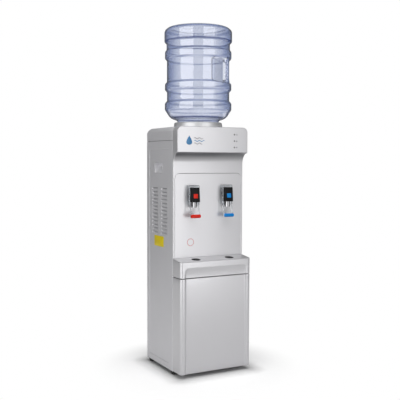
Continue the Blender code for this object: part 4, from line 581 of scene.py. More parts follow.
def makeBottle(b, material):
    # outer skin (r(v) cos u, r(v) sin u, z(v)) pressed in to a flat floor behind the grip, inner skin one wall inside
    line = bottleProfile(b)
    edge = math.asin(b["handleHalf"] / (b["handleShare"] * b["radius"]))
    u = crowded(-math.pi, math.pi, (-edge, edge), *b["columns"])[:-1]
    radius, height = line[:, :1], line[:, 1:]
    across, outward = radius * np.sin(u), radius * np.cos(u)
    box = (-b["handleHalf"], b["handleHalf"], b["shoulder"] + b["handleLow"], b["shoulder"] + b["handleHigh"])
    distance = roundedDistance(across, height, box, b["handleCorner"])
    press = (1 - smoothStep(*b["handleSlope"], distance)) * (outward > 0)
    outward = outward - np.maximum(outward - b["handleFloor"], 0) * press
    outer = aroundBottle(outward, across, height, b)
    normal = np.cross(np.roll(outer, -1, 1) - np.roll(outer, 1, 1), np.gradient(outer, axis=0))
    length = np.linalg.norm(normal, axis=2, keepdims=True)
    normal = normal / np.where(length < 1e-12, 1, length)
    if (normal[..., :2] * outer[..., :2]).sum() < 0:
        normal = -normal
    normal[0] = (0, 0, 1)
    inner = outer - normal * b["wall"]
    inner[-1, :, 2] = outer[-1, :, 2]
    return gridMesh("bottleShell", np.concatenate([outer, inner[::-1]]), material, "bottle_body", wrap=True, angle=70)


def makeBottleGrip(b, material):
    # a rounded bar from the one rib to the other; its section swells at both ends, which close to their middle
    low, high = b["shoulder"] + b["handleLow"] - b["gripLap"], b["shoulder"] + b["handleHigh"] + b["gripLap"]
    t = fullTurn(40)
    v = np.r_[0, np.linspace(0, 1, 30), 1][:, None]
    swell = b["swell"] * (np.exp(-(v / b["swellReach"]) ** 2) + np.exp(-((1 - v) / b["swellReach"]) ** 2))
    swell[[0, -1]] = -1
    across, outward = (np.sign(wave) * np.abs(wave) ** b["gripPower"] for wave in (np.cos(t), np.sin(t)))
    across = b["gripHalf"] * across * (1 + swell)
    outward = b["gripDeep"] * outward * np.where(swell < 0, 0, 1 + b["swellDeep"] * swell)
    rows = aroundBottle(b["gripOut"] + outward, across, low + (high - low) * v, b)
    return gridMesh("bottleGrip", rows, material, "bottle_body", wrap=True, angle=60)


shell = makeBottle(bottle, made["blueBottle"])
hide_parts("bottle")
grip = makeBottleGrip(bottle, made["blueBottle"])
print("bottle done:", len(shell.data.polygons), "faces")


# casing shared by the mouldings

casing = dict(
    half=0.155, front=-0.156, rear=0.156, joint=-0.086, columnY=-0.0905, headY=-0.128, wall=0.0025,
    cornerRadius=0.012, topRadius=0.020, edge=0.0032, seamEdge=0.0011, gap=0.0003,
    fieldDepth=0.0045, fieldOuter=0.1394, fieldInner=0.1289, flankLap=0.0012, middleLap=0.002,
    doorLow=0.0175, doorHigh=0.384, doorBack=-0.0868, hingeRadius=0.004,
    trayLow=0.387, trayHigh=0.4564, trayFall=0.0074, crease=0.4256,
    curveBase=0.816, headLow=0.863, top=0.9634, coverLow=0.9115,
)


def wrapPlan(c, hingeRound):
    # plan of the mouldings that wrap round both front corners: side, quarter circle, front, quarter circle, side
    r, half, front, back = c["cornerRadius"], c["half"], c["front"], c["doorBack"]
    turn = quarterTurn(22)
    side = joined(-half, np.linspace(back, front + r, 11)[:-1])
    corner = joined(-half + r - r * np.cos(turn), front + r - r * np.sin(turn))
    flank = np.linspace(c["fieldOuter"] + c["flankLap"], c["fieldInner"] - c["flankLap"], 26)
    middle = np.linspace(-1, 1, 30)[1:-1] * (c["fieldInner"] - c["middleLap"])
    plan = bothSides(np.vstack([side, corner]), joined(np.r_[-flank, middle, flank[::-1]], front))
    if hingeRound:
        turn, r = quarterTurn(8), c["hingeRadius"]
        straight = (plan[:, 0] < half - 1e-6) | (plan[:, 1] < back - r - 1e-4)
        plan = np.vstack([plan[straight], joined(half - r + r * np.cos(turn), back - r + r * np.sin(turn))])
    return plan


def backLine(outline, y):
    # the outline's arc length laid out on the straight line behind it, so that the plate between has no empty faces
    length = arcLength(outline)
    share = length / length[-1]
    return joined(outline[0, 0] * (1 - share) + outline[-1, 0] * share, y)


def fieldMask(x, c, pull=0.0):
    # 1 on the sunk front field, easing to 0 at its flanks; "pull" draws the flanks inwards
    return 1 - smoothStep(c["fieldInner"] - pull, c["fieldOuter"] - pull, np.abs(x))


# cabinet door

def makeDoor(c, material):
    # plan(u) carried from the top plate over a small round edge to the bottom plate, its middle sunk by fieldDepth
    plan = wrapPlan(c, True)
    normal = lineNormals(plan)
    normal[0], normal[-1] = (-1, 0), normal[-2]
    edge, low, high, back = c["seamEdge"], c["doorLow"], c["doorHigh"], c["doorBack"]
    inset, drop = roundOver(edge)
    heights = np.r_[high - drop, np.linspace(high - edge, low + edge, 16)[1:-1], (low + drop)[::-1]]
    insets = np.r_[inset, np.zeros(14), inset[::-1]][:, None, None]
    rows = plan + joined(0, c["fieldDepth"] * fieldMask(plan[:, 0], c)) - normal * insets
    rows[..., 1] = np.minimum(rows[..., 1], back)
    fill = np.linspace(0, 1, 4)[:-1, None, None]
    plate = backLine(rows[0], back) * (1 - fill) + rows[0] * fill
    rows = [withHeight(plate, high), withHeight(rows, heights[:, None]), withHeight(plate[::-1], low)]
    return gridMesh("cabinetDoor", np.concatenate(rows), material, "door_body", outward=False)


door = makeDoor(casing, made["silverPlastic"])
solidWall(door, (0, -0.10, 0.2), casing["wall"])
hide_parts("door")
print("door done:", len(door.data.polygons), "faces")


# tray housing with its cup shelf and wells

tray = dict(wellX=0.074, wellY=-0.125, wellRadius=0.0170, wellRim=0.0180, wellDepth=0.010, wellWall=0.003,
            wellPlay=0.0001, wellTaper=0.0002, wellStart=-0.006, wellEase=0.0006, wellReach=0.012, ledge=0.0145,
            lipEdge=0.0042, scoopPull=0.009)


def shelfHeight(y, c):
    return c["trayHigh"] - c["trayFall"] * np.clip((c["columnY"] - y) / (c["columnY"] - c["front"]), 0, 1.1)


def makeTray(c, t, material):
    # plan(u) rises from the bottom plate, its scooped middle coming forward to the crease, then goes over the lip
    plan = wrapPlan(c, False)
    normal = lineNormals(plan)
    normal[0], normal[-1] = (-1, 0), (1, 0)
    edge, lip, low, crease = c["seamEdge"], t["lipEdge"], c["trayLow"], c["crease"]
    insetLow, dropLow = roundOver(edge)
    insetHigh, dropHigh = (values[::-1][1:] for values in roundOver(lip, 8))
    shelf = shelfHeight(plan[:, 1], c)
    level = 0 * shelf
    heights = np.concatenate([low + dropLow[:, None] + level,
                              low + edge + np.linspace(0, 1, 26)[1:, None] * (crease - low - edge) + level,
                              crease + np.linspace(0, 1, 9)[1:, None] * (shelf - lip - crease),
                              shelf - dropHigh[:, None]])
    insets = np.r_[insetLow, np.zeros(25 + 8), insetHigh][:, None, None]
    rise = np.clip((heights - low) / (crease - low), 0, 1)
    rows = plan - normal * insets
    rows[..., 1] += c["fieldDepth"] * (1 - rise ** 2) * fieldMask(plan[:, 0], c, t["scoopPull"] * rise ** 5)
    rear = backLine(rows[-1], c["joint"] - c["gap"])
    fill = np.linspace(0, 1, 9)[1:, None, None]
    deck = rows[-1] * (1 - fill) + rear * fill
    under = rows[0] * (1 - fill[1::2]) + rear * fill[1::2]
    rows = [withHeight(under[::-1], low), withHeight(rows, heights), withHeight(deck, shelfHeight(deck[..., 1], c))]
    return gridMesh("trayHousing", np.concatenate(rows), material, "case", outward=False)


def makeWellCup(name, side, c, t, material):
    # profile (radius, drop) turned round the well; its rim follows the falling shelf
    r, rim, ledge, floor, top = t["wellRadius"], t["wellRim"], t["ledge"], -t["wellDepth"], -t["wellPlay"]
    under, start = floor - t["wellWall"], (rim, t["wellStart"])
    profile = easedLine([start, (rim, top), (r + t["wellTaper"], top), (r, floor), (ledge, floor), (ledge, under),
                         (rim, under), start], t["wellEase"], 6)
    radius, drop, turn = profile[:, :1], profile[:, 1:], fullTurn(96)
    x, y = side * t["wellX"] + radius * np.cos(turn), t["wellY"] + radius * np.sin(turn)
    middle = shelfHeight(t["wellY"], c)
    z = middle + drop + (shelfHeight(y, c) - middle) * np.clip(1 + drop / t["wellDepth"], 0, 1)
    return gridMesh(name, joined(x, y, z), material, "case", wrap=True, wrapRows=True, angle=60)


housing = makeTray(casing, tray, made["silverPlastic"])
solidWall(housing, (0, -0.11, 0.42), casing["wall"])
for side, label in ((-1, "left"), (1, "right")):
    centre = (side * tray["wellX"], tray["wellY"], shelfHeight(tray["wellY"], casing))
    drill(housing, centre, tray["wellRim"] + tray["wellPlay"], tray["wellReach"])
    cup = makeWellCup(label + "WellCup", side, casing, tray, made["darkPlastic"])
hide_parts("tray_housing")
print("tray done:", len(housing.data.polygons), "faces")


# front shell: column, hollow curve and head

front = dict(panelBox=(-0.147, 0.147, -1.0, 0.783), panelRadius=0.019, faceHalf=0.1516, headFillet=0.0052,
             panel=dict(depth=0.0008, ease=0.0004, groove=0.0009, grooveHalf=0.0010), wall=0.0022,
             cornerIn=(0.009, 0.010), columns=(0.009, 5.0, 46), rows=(0.014, 5.0, 74),
             spineDrop=0.05, leadFrom=0.70, leadRise=0.020)


def makeFrontShell(c, f, material):
    # outline O(u) up one side, over the arch and down the other; v from the face's middle over its edge to the joint
    e, half, r, top, headY, base = c["edge"], c["half"], c["topRadius"], c["top"], c["headY"], c["curveBase"]
    (_, panelHalf, _, panelTop), (inHalf, inTop) = f["panelBox"], f["cornerIn"]
    turn = quarterTurn(30)
    curve = joined(headY + (c["columnY"] - headY) * np.cos(turn), base + (c["headLow"] - base) * np.sin(turn))
    levels = crowded(c["trayHigh"] + c["gap"], base, (panelTop, panelTop - inTop), *f["rows"])
    lip = easedLine([curve[-6], (headY, c["headLow"]), (headY, top - r)], f["headFillet"], 9)[1:]
    straight = lip[-2] + (lip[-1] - lip[-2]) * np.linspace(0, 1, 8)[1:, None]
    line = np.vstack([joined(c["columnY"], levels[:-1]), curve[:-6], lip[:-1], straight])
    bend = math.pi - quarterTurn(16)[1:]
    across = np.linspace(-half + r, half - r, 26)[1:-1]
    # the place, the way out at the edge and the way the face looks, each for side, arch and top
    place = bothSides(np.vstack([withHeight(joined(-half, line[:, 0]), line[:, 1]),
                                 joined(-half + r + r * np.cos(bend), headY, top - r + r * np.sin(bend))]),
                      joined(across, headY, top))
    edge = bothSides(np.vstack([np.tile([-1, 0, 0], (len(line), 1)), joined(np.cos(bend), 0, np.sin(bend))]),
                     np.tile([0, 0, 1], (len(across), 1)))
    looks = -lineNormals(line)
    face = bothSides(np.vstack([joined(0, looks[:, 0], looks[:, 1]), np.tile([0, -1, 0], (len(bend), 1))]),
                     np.tile([0, -1, 0], (len(across), 1)))
    spine = joined(0, place[:, 1], np.minimum(place[:, 2], top - f["spineDrop"]))
    shares = crowded(0, f["faceHalf"], (panelHalf, panelHalf - inHalf), *f["columns"]) / f["faceHalf"]
    shares = shares[:, None, None]
    faceRows = spine * (1 - shares) + (place - edge * e) * shares
    swing = quarterTurn(9)[1:, None, None]
    edgeRows = place - edge * e * (1 - np.sin(swing)) - face * e * (1 - np.cos(swing))
    # behind the hollow curve the lines run upwards, so that no face of the side folds over
    lead = smoothStep(f["leadFrom"], base, place[:, 2]) * (1 - smoothStep(c["headLow"] + 0.004, top - r, place[:, 2]))
    isSide = np.abs(edge[:, 0]) > 0.999
    rear = joined(place[:, 0], c["joint"] - c["gap"], place[:, 2] + f["leadRise"] * lead * isSide)
    walk = np.linspace(0, 1, 7)[1:, None, None]
    wallRows = edgeRows[-1] * (1 - walk) + rear * walk
    distance = roundedDistance(faceRows[..., 0], faceRows[..., 2], f["panelBox"], f["panelRadius"])
    faceRows[..., 1] += sunkField(distance, **f["panel"]) * (faceRows[..., 2] < base)
    rows = np.concatenate([faceRows, edgeRows, wallRows])
    return gridMesh("frontShell", rows, material, "case", outward=False, merge=2e-6)


frontShell = makeFrontShell(casing, front, made["shellSilver"])
solidWall(frontShell, (0, -0.07, 0.70), front["wall"])
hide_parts("front_shell")
print("front shell done:", len(frontShell.data.polygons), "faces")


# top cover

cover = dict(hole=0.070, holeReach=0.02, sideRadius=0.003, wall=0.0022, seamGap=0.0004,
             seam=((0.0009, 0.0), (0.0003, 0.0002), (0.0, 0.0008)), closing=(0.4, 0.8, 1.0))


def makeTopCover(c, k, material):
    # the arch outline carried back, then drawn in round the rear edge and closed down to the lower line
    half, r, low, top, rear = c["half"], c["topRadius"], c["coverLow"], c["top"], c["rear"]
    bend = math.pi - quarterTurn(16)
    arch = joined(np.cos(bend), np.sin(bend))
    side = joined(-half, np.linspace(low, top - r, 7)[:-1])
    flat = joined(np.linspace(-half + r, half - r, 26)[1:-1], top)
    outline = bothSides(np.vstack([side, np.array([-half + r, top - r]) + r * arch]), flat)
    normal = bothSides(np.vstack([np.tile([-1, 0], (len(side), 1)), arch]), np.tile([0, 1], (len(flat), 1)))
    radius = k["sideRadius"] + (r - k["sideRadius"]) * np.clip(normal[:, 1:], 0, 1)
    front = c["joint"] + k["seamGap"]
    rows = [withHeight(outline - normal * inset, front + ahead) for inset, ahead in k["seam"]]
    rows += [withHeight(outline, y) for y in np.linspace(front + k["seam"][-1][1], rear - r, 12)[1:]]
    rows += [withHeight(outline - normal * radius * (1 - math.cos(a)), rear - radius[:, 0] * (1 - math.sin(a)))
             for a in quarterTurn(14)[1:]]
    last = rows[-1]
    foot = withHeight(backLine(last[:, :2], low), last[:, 2])
    rows += [last * (1 - share) + foot * share for share in k["closing"]]
    return gridMesh("topCover", np.stack(rows)[..., [0, 2, 1]], material, "case", outward=False)


# the cover is silver plastic, but wears the lighter side paint so that its side looks as lit as the panels: painted
# light
topCover = makeTopCover(casing, cover, made["lightenedSidePaint"])
solidWall(topCover, (0, 0.02, 0.93), cover["wall"])
drill(topCover, (0, 0, casing["top"]), cover["hole"], cover["holeReach"])
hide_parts("top_cover")
print("top cover done:", len(topCover.data.polygons), "faces")


# side panels

sheet = dict(
    flange=0.012, thickness=0.0012, bend=0.0016, low=0.0165, high=0.9112, groove=0.0022, grooveDepth=0.0060,
    fieldBox=(-0.052, 0.1324, 0.040, 0.878), fieldRadius=0.008,
    field=dict(depth=0.0008, ease=0.0009, groove=0.0007, grooveHalf=0.0012),
    slotFronts=(-0.0345, 0.050), slotLength=0.0525, slotTop=0.7237, slotPitch=0.01463, slotRows=13,
    slotHeight=0.0072, slotDepth=0.0052, slotEase=0.0014, slotCurve=0.8, slit=0.0012,
    gripBox=(0.007, 0.0795, 0.783, 0.826), gripEdge=0.0007,
    cupGap=0.0003, cupWall=0.0013, cupDepth=0.0186, cupLip=0.0012, cupSlope=0.018, cupEnd=(0.0005, 0.0024),
    cupReach=(0.0010, 0.0035, 0.0030, 0.0006),
    # how the grid's lines crowd: width, gain and number, then the slats' and the top's own lines
    acrossLines=(0.004, 14.0, 50), levelLines=(0.004, 40.0, 52), cupLines=(0.0018, 9.0, 44), near=0.0006,
    slatLines=(1.12, 1.0, 0.9, 0.7, 0.35, 0.0), topLines=(1.2, 0.6, 0.0),
)


def slatDepth(y, z, tops, s):
    # each slat leans in from its lower edge to the slit above it; its ends ease over slotEase
    depth = np.zeros(np.broadcast(y, z).shape)
    for front in s["slotFronts"]:
        ends = smoothStep(0, s["slotEase"], y - front) * smoothStep(0, s["slotEase"], front + s["slotLength"] - y)
        for top in tops:
            lean = np.clip((z - top + s["slotHeight"]) / s["slotHeight"], 0, 1) * (z < top + s["slit"] / 2)
            depth = np.maximum(depth, s["slotDepth"] * ends * lean ** s["slotCurve"])
    return depth


def makeSidePanel(name, side, s, c, material):
    # plan: flange, bend, face, bend, flange; the face goes in by the field's step, the slats and its top's groove
    half, joint, rear, bend, ease, long = c["half"], c["joint"], c["rear"], s["bend"], s["slotEase"], s["slotLength"]
    gripFront, gripRear, gripLow, gripHigh = s["gripBox"]
    gripLines = np.array(s["gripBox"]) + np.outer([0, 1], (-s["gripEdge"], s["gripEdge"]) * 2)
    ends = np.add.outer(s["slotFronts"], [0, ease / 2, ease, long - ease, long - ease / 2, long]).ravel()
    across = crowded(joint + bend, rear - bend, s["fieldBox"][:2], *s["acrossLines"])
    across = withExact(across, np.r_[ends, gripLines[:, :2].ravel()], s["near"])
    tops = s["slotTop"] - np.arange(s["slotRows"]) * s["slotPitch"]
    slats = np.subtract.outer(tops, np.r_[s["slotHeight"] * np.array(s["slatLines"]), -s["slit"]])
    levels = crowded(s["low"], s["high"], s["fieldBox"][2:], *s["levelLines"])
    top = s["high"] - s["groove"] * np.array(s["topLines"])
    levels = withExact(levels, np.r_[slats.ravel(), top, gripLines[:, 2:].ravel()], s["near"])
    turn = quarterTurn(6)
    flat = np.linspace(half - s["flange"], half - bend, 4)[:-1]
    x = np.r_[flat, half - bend + bend * np.sin(turn), np.full(len(across) - 2, half),
              half - bend + bend * np.cos(turn), flat[::-1]]
    y = np.r_[np.full(3, joint), joint + bend - bend * np.cos(turn), across[1:-1],
              rear - bend + bend * np.sin(turn), np.full(3, rear)]
    z = levels[:, None]
    distance = roundedDistance(y, z, s["fieldBox"], s["fieldRadius"])
    depth = sunkField(distance, **s["field"]) + slatDepth(y, z, tops, s)
    depth = depth + s["grooveDepth"] * np.clip(1 - (s["high"] - z) / (s["high"] - top[0]), 0, 1) ** 2
    panel = gridMesh(name, joined(side * (x - depth * (x > half - 1e-6)), y, z), material, "case", outward=False)

    def opening(px, py, pz):
        grip = (py > gripFront) & (py < gripRear) & (pz > gripLow) & (pz < gripHigh)
        level = np.abs(pz[:, None] - tops - s["slit"] / 2) < s["slit"] * 0.4
        past = py[:, None] - np.array(s["slotFronts"])
        within = (past > ease / 2) & (past < long - ease / 2)
        return (np.abs(px) > half - 0.006) & (grip | level.any(1) & within.any(1))

    dropFaces(panel, opening)
    solidWall(panel, (0, 0.03, 0.45), s["thickness"])
    return panel


def makeGripCup(name, side, s, c, material):
    # the pocket's section in depth and height carried along y; the depth rises from 0 at both end walls
    gap, wall, deep = s["cupGap"], s["cupWall"], s["cupDepth"]
    front, rear, low, high = np.array(s["gripBox"]) + (gap, -gap, gap, -gap)
    section = easedLine([(0, low), (0, low + s["cupLip"]), (deep, high - s["cupSlope"]), (deep, high - wall),
                         (0, high - wall), (0, high)], s["cupReach"], 7)
    section = np.vstack([section, section[-1:]])
    near = s["cupLines"][0] - gap
    y = crowded(front, rear, (front + near, rear - near), *s["cupLines"])
    share = smoothStep(*s["cupEnd"], y - y[0]) * smoothStep(*s["cupEnd"], y[-1] - y)
    rows = joined(side * (c["half"] - section[:, :1] * share), y, section[:, 1:])
    cup = gridMesh(name, rows, material, "case", outward=False)
    solidWall(cup, (0, 0.043, 0.80), wall, held=False)
    return cup


for side, label in ((-1, "left"), (1, "right")):
    panel = makeSidePanel(label + "SidePanel", side, sheet, casing, made["lightenedSidePaint"])
    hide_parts(label + "_side_panel")
    cup = makeGripCup(label + "GripCup", side, sheet, casing, made["lightenedSidePaint"])
    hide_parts("grip_cup_" + label)
print("side panels done:", len(panel.data.polygons), "faces each")


# collar ring

collar = dict(profile=((0.084, 0.975), (0.084, 0.9847), (0.095, 0.9847), (0.0972, 0.9690), (0.098, 0.9640),
                       (0.0883, 0.9640), (0.0883, 0.9665), (0.084, 0.9665), (0.084, 0.975)),
              reach=(0.0012, 0.0048, 0.0040, 0.0007, 0.0003, 0.0003, 0.0005), sides=144)


def makeCollar(k, material):
    # closed profile (r, z) turned round the bottle's axis
    profile = easedLine(k["profile"], k["reach"], 8)[:-1]
    t, r = fullTurn(k["sides"]), profile[:, :1]
    rows = joined(r * np.cos(t), r * np.sin(t), profile[:, 1:])
    return gridMesh("collarRing", rows, material, "case", wrap=True, wrapRows=True)


ring = makeCollar(collar, made["satinRing"])
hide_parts("collar_ring")
print("collar done:", len(ring.data.polygons), "faces")


# taps

tap = dict(x=0.074, markerZ=0.6965, marker=(0.009, 0.0085, 0.0018), markerSection=(0.0008, 0.0005),
           markerProud=0.0003, markerLean=0.0804, paddle=(0.0212, 0.00675, 0.0050), paddleBack=-0.1188,
           paddleZ=0.61905, paddleSection=(0.0095, 0.0042, 0.0008, 8), pivotY=-0.1045, pivotZ=0.7225, pinHole=0.0023,
           pinReach=0.03)
hood = dict(wall=0.0013, lean=0.0, cornerLeast=0.0012, cornerPull=0.4, columns=17, marks=(0.0,), near=0.0011,
            window=None)
capHood = dict(hood, half=0.019, back=-0.111, front=-0.119, lean=-0.0045, low=0.673, high=0.729, corner=0.0028,
               edge=0.0024, rows=9)
guardHood = dict(hood, half=0.023, back=-0.0903, front=-0.1107, low=0.662, high=0.738, corner=0.0032, edge=0.0036,
                 rows=13, marks=(-0.0155, 0.0155), window=(0.0155, 0.7195))
frontAxes = ((1, 0, 0), (0, 0, 1), (0, -1, 0))
leftAxes = ((0, 1, 0), (0, 0, 1), (-1, 0, 0))


def hoodFront(h, level):
    return h["front"] + h["lean"] * (h["high"] - level) / (h["high"] - h["low"])


def makeHood(name, h, x, material):
    # plan(u) from the back round both front corners, carried up, drawn in over the top edge and closed by a roof
    inset, drop = (values[::-1][1:] for values in roundOver(h["edge"], 8))
    levels = np.linspace(h["low"], h["high"] - h["edge"], h["rows"])
    if h["window"]:
        levels = withExact(levels, h["window"][1:], 0.002)
    insets = np.r_[np.zeros(len(levels)), inset][:, None]
    levels = np.r_[levels, h["high"] - drop][:, None]
    front, half = hoodFront(h, levels) + insets, h["half"] - insets
    r = np.maximum(h["corner"] - h["cornerPull"] * insets, h["cornerLeast"])
    turn, share, straight = quarterTurn(8), np.linspace(0, 1, 7)[:-1], h["half"] - h["corner"]
    flat = withExact(np.linspace(-straight, straight, h["columns"]), h["marks"], h["near"])[1:-1] / straight
    leftX = np.concatenate([-half + 0 * share, -half + r - r * np.cos(turn)], 1)
    leftY = np.concatenate([h["back"] + (front + r - h["back"]) * share, front + r - r * np.sin(turn)], 1)
    px = np.concatenate([leftX, flat * (half - r), -leftX[:, ::-1]], 1)
    py = np.concatenate([leftY, front + 0 * flat, leftY[:, ::-1]], 1)
    rows = joined(x + px, py, levels)
    fill = np.linspace(0, 1, 6)[1:, None, None]
    back = withHeight(backLine(rows[-1, :, :2], h["back"]), rows[-1, :, 2])
    rows = np.concatenate([rows, rows[-1] * (1 - fill) + back * fill])
    piece = gridMesh(name, rows, material, "case", outward=False)
    if h["window"]:
        # the window's faces lie in the front, within half a millimetre of it
        wide, top = h["window"]
        dropFaces(piece, lambda cx, cy, cz: (np.abs(cx - x) < wide) & (cy < h["front"] + 0.0005) & (cz < top))
    solidWall(piece, (x, h["back"] + 0.004, h["high"] - 0.03), h["wall"])
    return piece


# outlines in a plane, each with the way in which an inset draws them in

def roundedOutline(halfWide, halfHigh, corner):
    turn = np.add.outer(np.arange(4) * 0.5 * math.pi, quarterTurn(9)).ravel()
    centre = np.repeat([(1, 1), (-1, 1), (-1, -1), (1, -1)], 9, axis=0) * (halfWide - corner, halfHigh - corner)
    normal = joined(np.cos(turn), np.sin(turn))
    return centre + corner * normal, normal


def dropOutline(size):
    # a drop with its tip upwards: x = size sin t sin(t/2)^1.6, z = size cos t
    t = fullTurn(64)
    points = joined(size * np.sin(t) * np.abs(np.sin(t / 2)) ** 1.6, size * np.cos(t))
    return points, points / size


def starOutline(size):
    # six soft points: r = size (0.7 + 0.3 cos 6t)
    t = fullTurn(96)
    points = (size * (0.70 + 0.30 * np.cos(6 * t)))[:, None] * joined(np.cos(t), np.sin(t))
    return points, points / size


def padSection(thickness, edge, backEdge=0.0, steps=6):
    # (inset, level) pairs from the back face round the rim to the front face
    inset, drop = roundOver(edge, steps)
    start = [(backEdge, 0.0), (0.0, backEdge)] if backEdge else [(0.0, 0.0)]
    return np.vstack([start, joined(inset, thickness - drop)[::-1]])


def makePad(name, shape, section, origin, axes, material, body="case"):
    # rows of the outline drawn in by each inset of the section and raised by its level; both faces close in the middle
    outline, pull = shape
    section = padSection(*section)
    across, up, out = np.array(axes, float)
    rows = np.zeros((len(section) + 2, *outline.shape))
    rows[1:-1] = outline - pull * section[:, :1, None]
    levels = np.r_[section[0, 1], section[:, 1], section[-1, 1]][:, None, None]
    points = np.array(origin) + rows[..., :1] * across + rows[..., 1:] * up + levels * out
    return gridMesh(name, points, material, body, wrap=True, angle=50)


slope = math.hypot(tap["markerLean"], 1)
markerUp = np.array([0, tap["markerLean"], 1]) / slope
markerOut = np.array([0, -1, tap["markerLean"]]) / slope
tints = dict(hot=("redPlastic", "red_plastic"), cold=("bluePlastic", "blue_plastic"))
for side, label in ((-1, "hot"), (1, "cold")):
    x, (tint, tintSlot) = side * tap["x"], tints[label]
    cap = makeHood(label + "TapCap", capHood, x, made["blackPlastic"])
    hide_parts(label + "_tap_cap")
    guard = makeHood(label + "TapGuard", guardHood, x, made["clearPlastic"])
    drill(guard, (x, tap["pivotY"], tap["pivotZ"]), tap["pinHole"], tap["pinReach"], axis=0)
    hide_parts(label + "_tap_housing")
    origin = np.array([x, hoodFront(capHood, tap["markerZ"]), tap["markerZ"]]) + tap["markerProud"] * markerOut
    marker = makePad(label + "TapMarker", roundedOutline(*tap["marker"]), tap["markerSection"], origin,
                     ((1, 0, 0), markerUp, markerOut), made[tint])
    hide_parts(label + "_tap_marker")
    paddle = makePad(label + "Paddle", roundedOutline(*tap["paddle"]), tap["paddleSection"],
                     (x, tap["paddleBack"], tap["paddleZ"]), frontAxes, made[tint], label + "_lever_body")
    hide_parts(label + "_paddle")
print("taps done")


# signs without any lettering: a plain drop with ripples, three small lamp signs, a plain ring and a bare label

sign = dict(
    headFace=-0.128, panelFace=-0.0897, labelFace=-0.1546, section=(0.0003, 0.0001, 0.0, 4),
    labelSection=(0.0002, 0.0001, 0.0, 4),
    dropSize=0.0180, dropPlace=(-0.106, 0.911), ripplePlace=(-0.086, 0.909), rippleWidth=0.0026, rippleHigh=0.0024,
    rippleLong=0.0190, ripples=((0.009, 0.040, "signGrey"), (-0.001, 0.047, "signBlue"), (-0.011, 0.036, "signGrey")),
    lampX=0.1045, lampSize=0.0034, lampRing=(0.00306, 0.0011), lampZ=(0.935, 0.910, 0.885),
    ring=(-0.080, 0.516, 0.0145, 0.0017), label=(0.0395, 0.512), labelSize=(0.0435, 0.021, 0.003),
)


def makeRipple(name, line, width, origin, thickness, material):
    # a flat band along a line in the face: section corners (-w,0) (-w,t) (w,t) (w,0), drawn to nothing at both ends
    normal = lineNormals(line)
    share = np.linspace(0, 1, len(line))
    w = (width / 2 * np.sqrt(np.clip(1 - np.abs(2 * share - 1) ** 6, 0, 1)))[:, None]
    section = ((1, 0), (0.97, thickness), (-0.97, thickness), (-1, 0))
    corners = [(line + normal * w * pull, level) for pull, level in section]
    rows = [joined(origin[0] + p[:, 0], origin[1] - level, origin[2] + p[:, 1]) for p, level in corners]
    return gridMesh(name, np.stack(rows, 1), material, "case", wrap=True, merge=1e-5)


def makeSignRing(name, x, z, radius, width, face, section, material):
    # section of a flat washer with a softened rim, turned round its middle
    inner, (thickness, edge) = radius - width, section[:2]
    corners = [(radius, 0), (radius, thickness), (inner, thickness), (inner, 0), (radius, 0)]
    profile = easedLine(corners, edge, 4)[:-1]
    t, r = fullTurn(72), profile[:, :1]
    rows = joined(x + r * np.cos(t), face - profile[:, 1:], z + r * np.sin(t))
    return gridMesh(name, rows, material, "case", wrap=True, wrapRows=True)


def makeSigns(s):
    face, flat, (dropX, dropZ), (rippleX, rippleZ) = s["headFace"], s["section"], s["dropPlace"], s["ripplePlace"]
    makePad("plainDrop", dropOutline(s["dropSize"]), flat, (dropX, face, dropZ), frontAxes, made["signBlue"])
    for index, (rise, length, tint) in enumerate(s["ripples"]):
        along = np.linspace(0, 1, 40) * length
        line = joined(along, rise + s["rippleHigh"] * np.sin(along / s["rippleLong"] * 2 * math.pi))
        makeRipple("ripple" + str(index), line, s["rippleWidth"], (rippleX, face, rippleZ), flat[0], made[tint])
    x, size = s["lampX"], s["lampSize"]
    powerZ, heatingZ, coolingZ = s["lampZ"]
    makeSignRing("powerSign", x, powerZ, *s["lampRing"], face, flat, made["signGrey"])
    makePad("heatingSign", dropOutline(size), flat, (x, face, heatingZ), frontAxes, made["signGrey"])
    makePad("coolingSign", starOutline(size), flat, (x, face, coolingZ), frontAxes, made["signGrey"])
    makeSignRing("plainRing", *s["ring"], s["panelFace"], flat, made["signRed"])
    makePad("bareLabel", roundedOutline(*s["labelSize"]), s["labelSection"], (s["labelFace"], *s["label"]), leftAxes,
            made["signYellow"])


makeSigns(sign)
print("signs done")


# rear panel's screws

screw = dict(face=0.1531, radius=0.0046, rise=0.0021, slot=(0.00055, 0.00075), reach=(0.0022, 0.0028), sink=0.0012,
             ownTurn=(37.0, 111.0), across=0.131, levels=(0.893, 0.470, 0.036))


def makeScrew(name, x, z, s, material):
    # domed head z(r) = rise * sqrt(1 - (r/R)^3) with a cross sunk into it; turned by its own angle
    reach, turn = np.linspace(0, 1, 22)[:, None], fullTurn(64)
    own = s["ownTurn"][0] * x + s["ownTurn"][1] * z
    across, along = s["radius"] * reach * np.cos(turn), s["radius"] * reach * np.sin(turn)
    arm, long = np.minimum(np.abs(across), np.abs(along)), np.maximum(np.abs(across), np.abs(along))
    cross = (1 - smoothStep(*s["slot"], arm)) * (1 - smoothStep(*s["reach"], long))
    lift = s["rise"] * np.sqrt(np.clip(1 - reach ** 3, 0, 1)) - s["sink"] * cross
    rows = joined(x + across * math.cos(own) - along * math.sin(own), s["face"] + np.maximum(lift, 0),
                  z + across * math.sin(own) + along * math.cos(own))
    back = np.broadcast_to((x, s["face"], z), rows[:1].shape)
    return gridMesh(name, np.concatenate([rows, back]), material, "case", wrap=True, merge=1e-5, outward=False)


places = [(side * screw["across"], level) for level in screw["levels"] for side in (-1, 1)]
for index, (x, z) in enumerate(places):
    makeScrew("rearScrew" + str(index), x, z, screw, made["zincSheet"])
print("screws done:", len(places))


# floor, lights and camera

